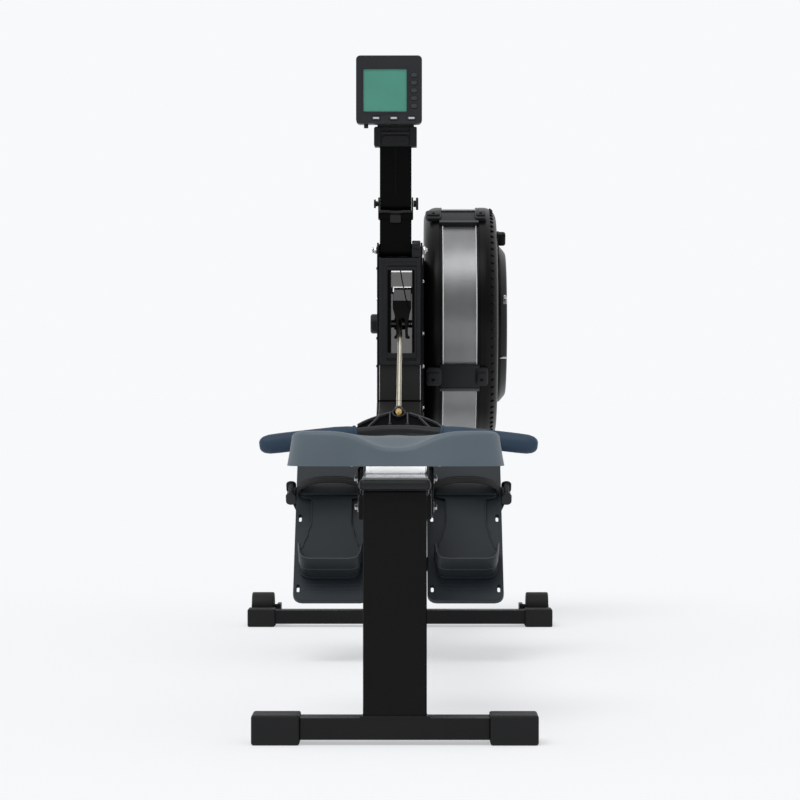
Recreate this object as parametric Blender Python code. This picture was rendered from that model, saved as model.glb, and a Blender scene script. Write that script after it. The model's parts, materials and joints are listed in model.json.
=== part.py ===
# Air rowing machine with a rail, a rolling seat and a fan flywheel, in metres, +Z up.
# The rower sits towards -Y and faces the flywheel at +Y. The origin is on the floor, under the middle.
# A station is a distance along the machine, counted forwards from the middle of the rear foot.
import math

import bmesh
import bpy
from mathutils import Vector

# Clearances
FIT = 0.0003
SHEET = 0.0035
TUBE_WALL = 0.0025

# Rail: a beam with a steel track over its top flange
RAIL_REAR = 0.0256
RAIL_FRONT = 1.340
RAIL_BOTTOM = 0.265
BEAM_TOP = 0.350
TRACK_THICKNESS = 0.0017
TRACK_LIP = 0.009
TRACK_WALL = 0.002
FLANGE_HALF_WIDTH = 0.042
FLANGE_THICKNESS = 0.010
BEAM_WEB_HALF = 0.020
BEAM_WEB_WALL = 0.0035
BEAM_FOOT_HALF = 0.030
BEAM_FOOT_THICKNESS = 0.008
STOP_LENGTH = 0.020
STOP_HEIGHT = 0.016
STOP_HALF_WIDTH = 0.020
FRONT_STOP = 1.170

# Rear leg, foot and end cap
REAR_LEG_HALF_WIDTH = 0.0422
REAR_LEG_HALF_DEPTH = 0.025
END_CAP_HALF_WIDTH = 0.0479
END_CAP_OVERHANG = 0.040
END_CAP_DEPTH = 0.016
SADDLE_FRONT = 0.085
SADDLE_PLATE = 0.004
SADDLE_HEIGHT = 0.032
SADDLE_DROP = 0.006
SADDLE_GAP = 0.0012
SADDLE_WALL = 0.003
REAR_FOOT_HALF_WIDTH = 0.190
REAR_CAP_LENGTH = 0.064
REAR_CAP_HEIGHT = 0.040
REAR_CAP_HALF_DEPTH = 0.031
REAR_BAR_BOTTOM = 0.007
REAR_BAR_TOP = 0.036

# Front leg, foot and casters
FRONT_LEG_STATION = 2.020
FRONT_LEG_HALF_DEPTH = 0.020
FRONT_LEG_TOP = 0.420
FRONT_FOOT_HALF_WIDTH = 0.305
FRONT_CAP_LENGTH = 0.055
FRONT_CAP_HEIGHT = 0.036
FRONT_CAP_HALF_DEPTH = 0.0275
FRONT_BAR_BOTTOM = 0.006
FRONT_BAR_TOP = 0.0335
FRONT_BAR_HALF_DEPTH = 0.022
CAP_WALL = 0.003
CASTER_RADIUS = 0.0295
CASTER_LIFT = 0.006
CASTER_WIDTH = 0.046
CASTER_CLEARANCE = 0.003
CASTER_AXLE_RADIUS = 0.005

# Seat
SEAT_REAR = 0.153
SEAT_HALF_WIDTH = 0.1550
SEAT_DEPTH = 0.240
SEAT_SKIRT_DROP = 0.0213
SEAT_FRONT_RISE = 0.0137
SEAT_LOBE_RISE = 0.0155
SEAT_DIP = 0.0235
SEAT_DIP_HALF_WIDTH = 0.058
SEAT_DIP_LENGTH = 0.19
SEAT_EDGE_DROP = 0.007
SEAT_WALL = 0.005
TOP_ROLLER_RADIUS = 0.0155
TOP_ROLLER_INNER = 0.025
TOP_ROLLER_OUTER = 0.042
ROLLER_AXLE_RADIUS = 0.004
REAR_ROLLER_OFFSET = 0.060
FRONT_ROLLER_OFFSET = 0.180
PAD_INNER = 0.0245
PAD_HEIGHT = 0.006
CARRIAGE_PLATE = 0.003
CARRIAGE_SIDE_GAP = 0.003

# Main frame: two side plates and a spine folded from sheet
PLATE_OUTER = 0.0445
FRAME_REAR = 1.215
FRAME_BOTTOM = 0.145
FRAME_WALL_STATION = 1.352
FRAME_DECK = 0.345
FRAME_FACE = 1.862
HEAD_TOP = 0.762
AXLE_STATION = 2.150
AXLE_HEIGHT = 0.610
AXLE_RADIUS = 0.008
HOUSING_RADIUS = 0.020
HOUSING_DEPTH = 0.016
BOSS_HEIGHT = 0.0032

# Footboards and foot plates
BOARD_OVERHANG = 0.045
BOARD_HEEL_HEIGHT = 0.110
BOARD_ANGLE = math.radians(47.0)
BOARD_LENGTH = 0.345
BOARD_INNER = 0.050
BOARD_OUTER = 0.182
BOARD_THICKNESS = 0.010
BOARD_TUBE_RADIUS = 0.0125
BOARD_TUBE_LOW = 0.100
BOARD_TUBE_HIGH = 0.270
BOARD_TUBE_HALF_LENGTH = 0.176
PLATE_CENTRE = 0.1185
FOOT_BASE = 0.006
HEEL_HEIGHT = 0.056
HEEL_WALL = 0.005
TOE_START = 0.232
TOE_HEIGHT = 0.012
CUP_END = 0.104
CUP_END_HEIGHT = 0.030
FOOT_STATIONS = [0.046, 0.050, 0.056, 0.068, 0.104, 0.118, 0.145, 0.171, 0.226, 0.233, 0.244, 0.253, 0.260]
FOOT_WIDTHS = [0.034, 0.046, 0.0515, 0.0545, 0.057, 0.050, 0.0425, 0.037, 0.037, 0.056, 0.0565, 0.049, 0.036]
STRAP_PLACE = 0.247
STRAP_WIDTH = 0.025
STRAP_THICKNESS = 0.002
STRAP_ARCH = 0.039
STRAP_FOOT = 0.016
BUCKLE_WIDTH = 0.019
BUCKLE_BEHIND = 0.026
BUCKLE_BEFORE = 0.022
BUCKLE_LOW = -0.008
BUCKLE_HIGH = 0.018

# Cage, fan and damper
CAGE_RADIUS = 0.238
CAGE_WALL = 0.003
CAGE_SHOULDER = 0.026
CAGE_INNER_FACE = 0.048
CAGE_INNER_RIM = 0.081
CAGE_OUTER_RIM = 0.1515
CAGE_OUTER_FACE = 0.195
BAND_WALL = 0.0015
BAND_LAP = 0.005
CAGE_STEPS = 56
FAN_RADIUS = 0.200
FAN_ROOT = 0.118
FAN_INNER = 0.088
FAN_OUTER = 0.146
FAN_BLADES = 24
DAMPER_RADIUS = 0.160
DAMPER_DEPTH = 0.020
DAMPER_LEVER = 0.206
DAMPER_LEAN = math.radians(24.0)

# Chain, cord and their wheels
SPROCKET_RADIUS = 0.014
CHAIN_HALF_WIDTH = 0.0046
CHAIN_WAIST = 0.0034
CHAIN_HALF_THICKNESS = 0.003
CHAIN_PITCH = 0.0127
PULLEY_RADIUS = 0.022
PULLEY_STATION = 1.520
PULLEY_HEIGHT = 0.250
CORD_RADIUS = 0.0035
CORD_PULLEY_RADIUS = 0.018
CORD_PULLEY_STATION = 1.950
CORD_PULLEY_HEIGHT = 0.400
CORD_ANCHOR_STATION = 1.620
CORD_ANCHOR_HEIGHT = 0.310
PULLEY_PIN_RADIUS = 0.004

# Shroud and its window
SHROUD_BOTTOM = 0.5225
SHROUD_TOP = 0.7315
WINDOW_LEFT = -0.017
WINDOW_RIGHT = 0.024
WINDOW_BOTTOM = 0.538
WINDOW_TOP = 0.708
SHROUD_DEPTH = 0.010
SHROUD_PROUD = 0.004
COLLAR_WALL = 0.004
COLLAR_DEPTH = 0.036
WINDOW_STEP = 0.008
WINDOW_STEP_DEPTH = 0.003

# Handle
HANDLE_SETBACK = 0.069
HANDLE_REST = 0.055
HANDLE_TILT = math.radians(38.0)
HANDLE_BEND = math.radians(10.8)
BAR_BLEND = 0.020
BAR_FLAT = 0.014
HANDLE_HALF_WIDTH = 0.2425
HANDLE_BAR_RADIUS = 0.011
HANDLE_APEX = 0.057
BAR_END = 0.0730
PEG_START = 0.0630
PEG_END = 0.140
WEB_FOOT = 0.060
WEB_SHOULDER = 0.058
WEB_SHOULDER_RISE = 0.012
WEB_TIP = 0.010
WEB_RISE = 0.004
WEB_MIDDLE = 0.012
WEB_TIP_INSET = 0.002
WEB_HALF_THICKNESS = 0.004
RIB_RADIUS = 0.0062
RIB_STEP = 0.026
RIB_RISE = 0.006
NOSE_RADIUS = 0.0078
NOSE_INSET = 0.009
NECK_LENGTH = 0.006
NECK_RADIUS = 0.0045
SWIVEL_RADIUS = 0.0072
SWIVEL_REACH = 0.022
NOSE_LENGTH = 0.0042
GRIP_RADIUS = 0.0175
PEG_RADIUS = 0.008

# Monitor and its arm
ARM_STATION = 1.885
ARM_PIVOT_DROP = 0.014
LOWER_ARM_LENGTH = 0.091
UPPER_ARM_LENGTH = 0.125
ARM_CENTRE = -0.008
ARM_HALF_WIDTH = 0.031
ARM_HALF_DEPTH = 0.013
SCREW_RADIUS = 0.004
YOKE_HALF_WIDTH = 0.0415
YOKE_GRIP = 0.014
YOKE_HEAD = 0.0247
EAR_RADIUS = 0.011
MONITOR_CENTRE = -0.0208
MONITOR_WIDTH = 0.1284
MONITOR_GAP = 0.0030
MONITOR_HEIGHT = 0.133
MONITOR_FACE = 1.836
MONITOR_DEPTH = 0.030
TILT_LIFT = 0.0315
SCREEN_WIDTH = 0.0856
SCREEN_HEIGHT = 0.0837
SCREEN_CENTRE = -0.0286
SCREEN_LIFT = 0.0648
SIDE_KEY = (0.013, 0.008)
SIDE_KEY_INSET = 0.0155
SIDE_KEY_RISE = 0.030
SIDE_KEY_STEP = 0.0151
BOTTOM_KEY = (0.018, 0.0076)
BOTTOM_KEY_START = 0.0253
BOTTOM_KEY_STEP = 0.0345
BOTTOM_KEY_LIFT = 0.0110

# Worked out from the sizes above
PLATE_INNER = PLATE_OUTER - SHEET
RAIL_TOP = BEAM_TOP + FIT + TRACK_THICKNESS
ORIGIN_STATION = (AXLE_STATION + CAGE_RADIUS - END_CAP_OVERHANG) / 2.0
TRACK_HALF_WIDTH = FLANGE_HALF_WIDTH + FIT + TRACK_WALL
CARRIAGE_INNER = TRACK_HALF_WIDTH + CARRIAGE_SIDE_GAP
CARRIAGE_OUTER = CARRIAGE_INNER + CARRIAGE_PLATE
TOP_ROLLER_HEIGHT = RAIL_TOP + FIT + TOP_ROLLER_RADIUS
CARRIAGE_TOP = TOP_ROLLER_HEIGHT + TOP_ROLLER_RADIUS + 0.002
SEAT_BOTTOM = CARRIAGE_TOP - SEAT_SKIRT_DROP
SEAT_FRONT_HEIGHT = CARRIAGE_TOP + SEAT_FRONT_RISE
SEAT_LOBE = SEAT_FRONT_HEIGHT + SEAT_LOBE_RISE
BAND_RADIUS = CAGE_RADIUS - CAGE_WALL - FIT
CHAIN_RADIUS = SPROCKET_RADIUS + FIT + CHAIN_HALF_THICKNESS
CASTER_STATION = FRONT_LEG_STATION + FRONT_CAP_HALF_DEPTH + CASTER_RADIUS + CASTER_CLEARANCE
CASTER_HEIGHT = CASTER_RADIUS + CASTER_LIFT
BOARD_HEEL = FRAME_REAR - BOARD_OVERHANG
HANDLE_STATION = FRAME_WALL_STATION - HANDLE_SETBACK
HANDLE_HEIGHT = FRAME_DECK + HANDLE_REST
ARM_PIVOT = HEAD_TOP - ARM_PIVOT_DROP
ARM_FOLD = ARM_PIVOT + LOWER_ARM_LENGTH
ARM_TOP = ARM_FOLD + UPPER_ARM_LENGTH
YOKE_BOTTOM = ARM_TOP - YOKE_GRIP
YOKE_TOP = ARM_TOP + YOKE_HEAD
MONITOR_BOTTOM = YOKE_TOP + MONITOR_GAP
TILT_HEIGHT = MONITOR_BOTTOM + TILT_LIFT
SCREEN_MIDDLE = MONITOR_BOTTOM + SCREEN_LIFT


def y_at(station):
    return station - ORIGIN_STATION


# Bare shapes, each a closed bmesh
def prism(outline, low, high, axis="X"):
    # The outline's two numbers are (y, z) for axis X, (x, z) for Y and (x, y) for Z.
    place = {
        "X": lambda a, b, c: (c, a, b),
        "Y": lambda a, b, c: (a, c, b),
        "Z": lambda a, b, c: (a, b, c),
    }[axis]
    shape = bmesh.new()
    near = [shape.verts.new(place(a, b, low)) for a, b in outline]
    far = [shape.verts.new(place(a, b, high)) for a, b in outline]
    count = len(outline)
    shape.faces.new(near)
    shape.faces.new(far)
    for i in range(count):
        j = (i + 1) % count
        shape.faces.new((near[i], near[j], far[j], far[i]))
    bmesh.ops.recalc_face_normals(shape, faces=shape.faces)
    return shape


def side_prism(outline, low, high):
    # An outline of (station, height) points, pulled across the machine.
    return prism([(y_at(station), height) for station, height in outline], low, high)


def block(x, y, z):
    return prism([(x[0], y[0]), (x[1], y[0]), (x[1], y[1]), (x[0], y[1])], z[0], z[1], "Z")


def box_at(x, station, z):
    return block(x, (y_at(station[0]), y_at(station[1])), z)


def circle(centre, radius, steps, start=0.0, sweep=2.0 * math.pi):
    # Points on an arc; a full circle leaves out the repeated last point.
    spans = steps if sweep >= 2.0 * math.pi - 1e-9 else steps - 1
    angles = [start + sweep * i / spans for i in range(steps)]
    return [(centre[0] + radius * math.cos(a), centre[1] + radius * math.sin(a)) for a in angles]


def disc(station, height, radius, x, steps=24):
    # A cylinder across the machine.
    return prism(circle((y_at(station), height), radius, steps), x[0], x[1])


def turned(profile, station, height, steps=48):
    # A closed profile of (x, radius) points turned about a cross axis; a radius of 0 makes a pole.
    shape = bmesh.new()
    rings = []
    for x, radius in profile:
        if radius == 0.0:
            rings.append([shape.verts.new((x, y_at(station), height))])
            continue
        points = circle((y_at(station), height), radius, steps)
        rings.append([shape.verts.new((x, y, z)) for y, z in points])
    for index, ring in enumerate(rings):
        following = rings[(index + 1) % len(rings)]
        if len(ring) == 1 and len(following) == 1:
            continue
        for i in range(steps):
            j = (i + 1) % steps
            corners = [ring[i % len(ring)], ring[j % len(ring)]]
            corners += [following[j % len(following)], following[i % len(following)]]
            unique = list(dict.fromkeys(corners))
            shape.faces.new(unique)
    bmesh.ops.recalc_face_normals(shape, faces=shape.faces)
    return shape


def rod(start, end, radius, steps=16):
    # A cylinder between two points.
    start, end = Vector(start), Vector(end)
    return swept([start, end], radius, steps)


def swept(points, radius, steps=8, squash=1.0):
    # A round bar along points in one upright plane or across the machine.
    points = [Vector(p) for p in points]
    shape = bmesh.new()
    rings = []
    for index, point in enumerate(points):
        before = points[max(index - 1, 0)]
        after = points[min(index + 1, len(points) - 1)]
        along = (after - before).normalized()
        side = Vector((1.0, 0.0, 0.0)) if abs(along.x) < 0.9 else Vector((0.0, 0.0, 1.0))
        first = side.cross(along).normalized()
        second = along.cross(first)
        size = radius[index] if isinstance(radius, list) else radius
        ring = []
        for i in range(steps):
            angle = 2.0 * math.pi * i / steps
            offset = first * math.cos(angle) * size * squash + second * math.sin(angle) * size
            ring.append(shape.verts.new(point + offset))
        rings.append(ring)
    for near, far in zip(rings, rings[1:]):
        for i in range(steps):
            j = (i + 1) % steps
            shape.faces.new((near[i], near[j], far[j], far[i]))
    shape.faces.new(rings[0])
    shape.faces.new(rings[-1])
    bmesh.ops.recalc_face_normals(shape, faces=shape.faces)
    return shape


def mesh_from(shape, name):
    mesh = bpy.data.meshes.new(name)
    shape.to_mesh(mesh)
    return mesh


def boolean(base, tools, operation):
    # The base shape after an exact Boolean with every tool shape.
    collection = bpy.context.scene.collection
    target = bpy.data.objects.new("work", mesh_from(base, "work"))
    collection.objects.link(target)
    helpers = []
    for tool in tools:
        helper = bpy.data.objects.new("tool", mesh_from(tool, "tool"))
        collection.objects.link(helper)
        modifier = target.modifiers.new("step", "BOOLEAN")
        modifier.operation = operation
        modifier.solver = "EXACT"
        modifier.object = helper
        helpers.append(helper)
    result = bmesh.new()
    result.from_object(target, bpy.context.evaluated_depsgraph_get())
    for item in [target] + helpers:
        bpy.data.objects.remove(item)
    return result


def fused(shapes):
    return boolean(shapes[0], shapes[1:], "UNION")


def cut(base, tools):
    return boolean(base, tools, "DIFFERENCE")


def mirrored(shape):
    # The same shape on the other side of the middle plane.
    copy = shape.copy()
    for vertex in copy.verts:
        vertex.co.x = -vertex.co.x
    bmesh.ops.reverse_faces(copy, faces=copy.faces)
    return copy


# Colours, roughness and metallic values
FINISHES = {
    "black_steel": ((0.012, 0.012, 0.013), 0.55, 0.0),
    "track_steel": ((0.60, 0.61, 0.62), 0.22, 1.0),
    "rail_aluminium": ((0.35, 0.36, 0.37), 0.40, 1.0),
    "bright_steel": ((0.55, 0.56, 0.57), 0.30, 1.0),
    "seat_plastic": ((0.105, 0.135, 0.160), 0.55, 0.0),
    "dark_plastic": ((0.025, 0.028, 0.031), 0.50, 0.0),
    "cage_plastic": ((0.010, 0.010, 0.011), 0.30, 0.0),
    "board_plastic": ((0.024, 0.033, 0.042), 0.50, 0.0),
    "foot_rubber": ((0.018, 0.018, 0.018), 0.80, 0.0),
    "strap_web": ((0.010, 0.010, 0.011), 0.90, 0.0),
    "grip_rubber": ((0.024, 0.060, 0.100), 0.60, 0.0),
    "chain_steel": ((0.26, 0.25, 0.22), 0.40, 1.0),
    "swivel_brass": ((0.60, 0.42, 0.16), 0.35, 1.0),
    "band_steel": ((0.30, 0.31, 0.32), 0.35, 1.0),
    "screen_glass": ((0.080, 0.285, 0.215), 0.25, 0.0),
    "key_rubber": ((0.130, 0.135, 0.140), 0.60, 0.0),
    "fan_metal": ((0.30, 0.30, 0.31), 0.45, 1.0),
    "cord_rubber": ((0.020, 0.020, 0.022), 0.85, 0.0),
}


def finish(name):
    material = bpy.data.materials.get(name)
    if material:
        return material
    colour, roughness, metallic = FINISHES[name]
    material = bpy.data.materials.new(name)
    material.use_nodes = True
    shader = material.node_tree.nodes["Principled BSDF"]
    shader.inputs["Base Color"].default_value = (*colour, 1.0)
    shader.inputs["Roughness"].default_value = roughness
    shader.inputs["Metallic"].default_value = metallic
    material.diffuse_color = (*colour, 1.0)
    return material


def piece(name, shape, material, pivot=None, bevel=0.0, smooth_below=35.0):
    # One sub-part, with its origin on its pivot where it turns on one.
    pivot = Vector(pivot or (0.0, 0.0, 0.0))
    bmesh.ops.translate(shape, verts=shape.verts, vec=-pivot)
    mesh = mesh_from(shape, name)
    mesh.shade_smooth()
    mesh.set_sharp_from_angle(angle=math.radians(smooth_below))
    mesh.materials.append(finish(material))
    item = bpy.data.objects.new(name, mesh)
    item.location = pivot
    bpy.context.scene.collection.objects.link(item)
    if bevel:
        modifier = item.modifiers.new("soft edges", "BEVEL")
        modifier.width = bevel
        modifier.segments = 1
        modifier.limit_method = "ANGLE"
        modifier.angle_limit = math.radians(50.0)
    return item


# Rear section
def rail():
    beam_outline = [
        (FLANGE_HALF_WIDTH, BEAM_TOP),
        (-FLANGE_HALF_WIDTH, BEAM_TOP),
        (-FLANGE_HALF_WIDTH, BEAM_TOP - FLANGE_THICKNESS),
        (-BEAM_WEB_HALF, BEAM_TOP - FLANGE_THICKNESS),
        (-BEAM_WEB_HALF, RAIL_BOTTOM + BEAM_FOOT_THICKNESS),
        (-BEAM_FOOT_HALF, RAIL_BOTTOM + BEAM_FOOT_THICKNESS),
        (-BEAM_FOOT_HALF, RAIL_BOTTOM),
        (BEAM_FOOT_HALF, RAIL_BOTTOM),
        (BEAM_FOOT_HALF, RAIL_BOTTOM + BEAM_FOOT_THICKNESS),
        (BEAM_WEB_HALF, RAIL_BOTTOM + BEAM_FOOT_THICKNESS),
        (BEAM_WEB_HALF, BEAM_TOP - FLANGE_THICKNESS),
        (FLANGE_HALF_WIDTH, BEAM_TOP - FLANGE_THICKNESS),
    ]
    beam = prism(beam_outline, y_at(RAIL_REAR), y_at(RAIL_FRONT), "Y")
    hollow = BEAM_WEB_HALF - BEAM_WEB_WALL
    core = box_at(
        (-hollow, hollow),
        (RAIL_REAR - 0.01, RAIL_FRONT + 0.01),
        (RAIL_BOTTOM + BEAM_FOOT_THICKNESS, BEAM_TOP - FLANGE_THICKNESS),
    )
    piece("monorail_beam", cut(beam, [core]), "rail_aluminium")
    inside = FLANGE_HALF_WIDTH + FIT
    lip = RAIL_TOP - TRACK_THICKNESS - TRACK_LIP
    track_outline = [
        (-TRACK_HALF_WIDTH, lip),
        (-inside, lip),
        (-inside, BEAM_TOP + FIT),
        (inside, BEAM_TOP + FIT),
        (inside, lip),
        (TRACK_HALF_WIDTH, lip),
        (TRACK_HALF_WIDTH, RAIL_TOP),
        (-TRACK_HALF_WIDTH, RAIL_TOP),
    ]
    track = prism(track_outline, y_at(RAIL_REAR), y_at(RAIL_FRONT), "Y")
    piece("rail_track", track, "track_steel")
    stop = box_at(
        (-STOP_HALF_WIDTH, STOP_HALF_WIDTH),
        (FRONT_STOP, FRONT_STOP + STOP_LENGTH),
        (RAIL_TOP + FIT, RAIL_TOP + FIT + STOP_HEIGHT),
    )
    piece("rail_front_stop", stop, "foot_rubber", bevel=0.003)
    cap_bottom = RAIL_TOP - END_CAP_DEPTH
    cap = box_at(
        (-END_CAP_HALF_WIDTH, END_CAP_HALF_WIDTH),
        (-END_CAP_OVERHANG, RAIL_REAR - FIT),
        (cap_bottom, RAIL_TOP),
    )
    piece("rail_end_cap", cap, "dark_plastic", bevel=0.004)


def rear_leg():
    half = REAR_LEG_HALF_WIDTH
    depth = REAR_LEG_HALF_DEPTH
    wall = TUBE_WALL
    top = RAIL_TOP - END_CAP_DEPTH - FIT
    leg = box_at((-half, half), (-depth, depth), (REAR_BAR_BOTTOM + wall, top))
    bar_end = REAR_FOOT_HALF_WIDTH - CAP_WALL - FIT
    bar = box_at((-bar_end, bar_end), (-depth + 0.001, depth - 0.001), (REAR_BAR_BOTTOM, REAR_BAR_TOP))
    slot_half = TRACK_HALF_WIDTH + SADDLE_GAP
    shelf = box_at(
        (-half, half),
        (depth - wall, SADDLE_FRONT),
        (RAIL_BOTTOM - FIT - SADDLE_PLATE, RAIL_BOTTOM - FIT),
    )
    plate_top = top - SADDLE_DROP
    plate = box_at(
        (half - 0.001, slot_half + SADDLE_WALL),
        (-depth + 0.004, SADDLE_FRONT),
        (plate_top - SADDLE_HEIGHT, plate_top),
    )
    body = fused([leg, bar, shelf, plate, mirrored(plate)])
    leg_hollow = box_at(
        (-half + wall, half - wall),
        (-depth + wall, depth - wall),
        (REAR_BAR_TOP - wall, top + 0.01),
    )
    bar_hollow = box_at(
        (-bar_end - 0.01, bar_end + 0.01),
        (-depth + 0.001 + wall, depth - 0.001 - wall),
        (REAR_BAR_BOTTOM + wall, REAR_BAR_TOP - wall),
    )
    rail_slot = box_at(
        (-slot_half, slot_half),
        (RAIL_REAR - FIT, SADDLE_FRONT + 0.01),
        (RAIL_BOTTOM - FIT, RAIL_TOP),
    )
    piece("rear_leg", cut(body, [leg_hollow, bar_hollow, rail_slot]), "black_steel")
    foot_caps("rear_foot_cap", 0.0, REAR_FOOT_HALF_WIDTH, REAR_CAP_LENGTH, REAR_CAP_HEIGHT,
              REAR_CAP_HALF_DEPTH, depth - 0.001, (REAR_BAR_BOTTOM, REAR_BAR_TOP))


def foot_caps(name, station, half_width, length, height, half_depth, bar_half_depth, bar_heights):
    # Two rubber caps, each a sleeve closed at its outer end.
    outer = box_at((half_width - length, half_width), (station - half_depth, station + half_depth), (0.0, height))
    pocket = box_at(
        (half_width - length - 0.01, half_width - CAP_WALL),
        (station - bar_half_depth - FIT, station + bar_half_depth + FIT),
        (bar_heights[0] - FIT, bar_heights[1] + FIT),
    )
    cap = cut(outer, [pocket])
    piece(name + "_left", mirrored(cap), "foot_rubber")
    piece(name + "_right", cap, "foot_rubber")


# Seat and its carriage
def seat_height(across, along):
    # Two lobes at the rear with a dip between them, hollows for the sit bones, a low hump in front.
    x = across * SEAT_HALF_WIDTH
    rear = math.exp(-((along / 0.38) ** 2))
    level = SEAT_FRONT_HEIGHT + (SEAT_LOBE - SEAT_FRONT_HEIGHT) * rear
    across_share = math.exp(-abs(x / SEAT_DIP_HALF_WIDTH) ** 2.6)
    dip = SEAT_DIP * across_share * math.exp(-((along / SEAT_DIP_LENGTH) ** 2))
    bones = 0.004 * math.exp(-(((abs(x) - 0.062) / 0.035) ** 2) - ((along - 0.5) / 0.2) ** 2)
    hump = 0.004 * math.exp(-((x / 0.045) ** 2) - ((along - 0.95) / 0.3) ** 2)
    rounding = SEAT_EDGE_DROP * (abs(across) ** 24 + abs(2.0 * along - 1.0) ** 16)
    return level - dip - bones + hump - rounding


def seat_point(across, along, inset, bottom=None):
    # A place on the seat's plan, which narrows to the front and has round corners.
    reach = 2.0 * along - 1.0
    half = SEAT_HALF_WIDTH * (1.0 - 0.12 * along ** 2) - inset
    lift = 0.96 if bottom is None else 1.0
    x = half * lift * across * (1.0 - 0.12 * abs(reach) ** 8)
    y = (SEAT_DEPTH / 2.0 - inset) * reach * (1.0 - 0.05 * abs(across) ** 6)
    height = seat_height(across, along) - (SEAT_WALL if inset else 0.0)
    if bottom is not None:
        height = bottom
    return x, y_at(SEAT_REAR + SEAT_DEPTH / 2.0) + y, height


def seat_shell():
    columns = 25
    rows = 15
    across = [-1.0 + 2.0 * i / (columns - 1) for i in range(columns)]
    along = [j / (rows - 1) for j in range(rows)]
    edge = [(i, 0) for i in range(columns)]
    edge += [(columns - 1, j) for j in range(1, rows)]
    edge += [(i, rows - 1) for i in range(columns - 2, -1, -1)]
    edge += [(0, j) for j in range(rows - 2, 0, -1)]
    shape = bmesh.new()
    skins = []
    rims = []
    for inset in (0.0, SEAT_WALL):
        skin = {}
        for i, a in enumerate(across):
            for j, v in enumerate(along):
                skin[i, j] = shape.verts.new(seat_point(a, v, inset))
        for i in range(columns - 1):
            for j in range(rows - 1):
                shape.faces.new((skin[i, j], skin[i + 1, j], skin[i + 1, j + 1], skin[i, j + 1]))
        rim = [shape.verts.new(seat_point(across[i], along[j], inset, SEAT_BOTTOM)) for i, j in edge]
        for k, place in enumerate(edge):
            following = (k + 1) % len(edge)
            shape.faces.new((skin[place], skin[edge[following]], rim[following], rim[k]))
        skins.append(skin)
        rims.append(rim)
    for k in range(len(edge)):
        following = (k + 1) % len(edge)
        shape.faces.new((rims[0][k], rims[0][following], rims[1][following], rims[1][k]))
    bmesh.ops.recalc_face_normals(shape, faces=shape.faces)
    bosses = []
    for x in (-0.030, 0.030):
        for offset in (0.095, 0.145):
            along = offset / SEAT_DEPTH
            top = seat_height(x / SEAT_HALF_WIDTH, along) - SEAT_WALL / 2.0
            centre = (x, y_at(SEAT_REAR + offset))
            bosses.append(prism(circle(centre, 0.008, 12), CARRIAGE_TOP + CARRIAGE_PLATE + FIT, top, "Z"))
    piece("seat_shell", fused([shape] + bosses), "seat_plastic", smooth_below=50.0)


def seat_carriage():
    front = SEAT_REAR + FRONT_ROLLER_OFFSET
    rear = SEAT_REAR + REAR_ROLLER_OFFSET
    middle = (front + rear) / 2.0
    pad_top = BEAM_TOP - FLANGE_THICKNESS - FIT
    side_low = pad_top - PAD_HEIGHT - 0.004
    side_outline = [
        (rear - 0.012, TOP_ROLLER_HEIGHT - 0.010),
        (middle - 0.030, side_low),
        (middle + 0.030, side_low),
        (front + 0.012, TOP_ROLLER_HEIGHT - 0.010),
        (front + 0.012, CARRIAGE_TOP + CARRIAGE_PLATE),
        (rear - 0.012, CARRIAGE_TOP + CARRIAGE_PLATE),
    ]
    side = side_prism(side_outline, CARRIAGE_INNER, CARRIAGE_OUTER)
    top = box_at(
        (-CARRIAGE_INNER - 0.001, CARRIAGE_INNER + 0.001),
        (rear - 0.012, front + 0.012),
        (CARRIAGE_TOP, CARRIAGE_TOP + CARRIAGE_PLATE),
    )
    reach = CARRIAGE_INNER + 0.001
    axles = [disc(place, TOP_ROLLER_HEIGHT, ROLLER_AXLE_RADIUS, (-reach, reach), 16) for place in (rear, front)]
    pad = box_at((PAD_INNER, reach), (middle - 0.024, middle + 0.024), (pad_top - PAD_HEIGHT, pad_top))
    body = fused([top, side, mirrored(side), pad, mirrored(pad)] + axles)
    piece("seat_carriage", body, "black_steel")
    for name, station in (("top_rollers_rear", rear), ("top_rollers_front", front)):
        pivot = (0.0, y_at(station), TOP_ROLLER_HEIGHT)
        piece(name, roller_pair(station), "key_rubber", pivot)


def roller_pair(station):
    # Two rollers on one sleeve, which turns on the fixed axle.
    chamfer = 0.0012
    radius = TOP_ROLLER_RADIUS
    inner, outer = TOP_ROLLER_INNER, TOP_ROLLER_OUTER
    sleeve = ROLLER_AXLE_RADIUS + FIT + 0.0025
    right = [
        (inner, sleeve),
        (inner, radius - chamfer),
        (inner + chamfer, radius),
        (outer - chamfer, radius),
        (outer, radius - chamfer),
        (outer, ROLLER_AXLE_RADIUS + FIT),
    ]
    left = [(-x, r) for x, r in reversed(right)]
    return turned(left + right, station, TOP_ROLLER_HEIGHT, 28)


# Main frame and front leg
def inset(outline, distance):
    # The same closed outline moved inwards; the outline runs counterclockwise.
    count = len(outline)
    result = []
    for i in range(count):
        before = Vector(outline[i - 1])
        here = Vector(outline[i])
        after = Vector(outline[(i + 1) % count])
        first = (here - before).normalized()
        second = (after - here).normalized()
        first_normal = Vector((-first.y, first.x))
        second_normal = Vector((-second.y, second.x))
        scale = distance / (1.0 + first_normal.dot(second_normal))
        result.append(tuple(here + (first_normal + second_normal) * scale))
    return result


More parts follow.
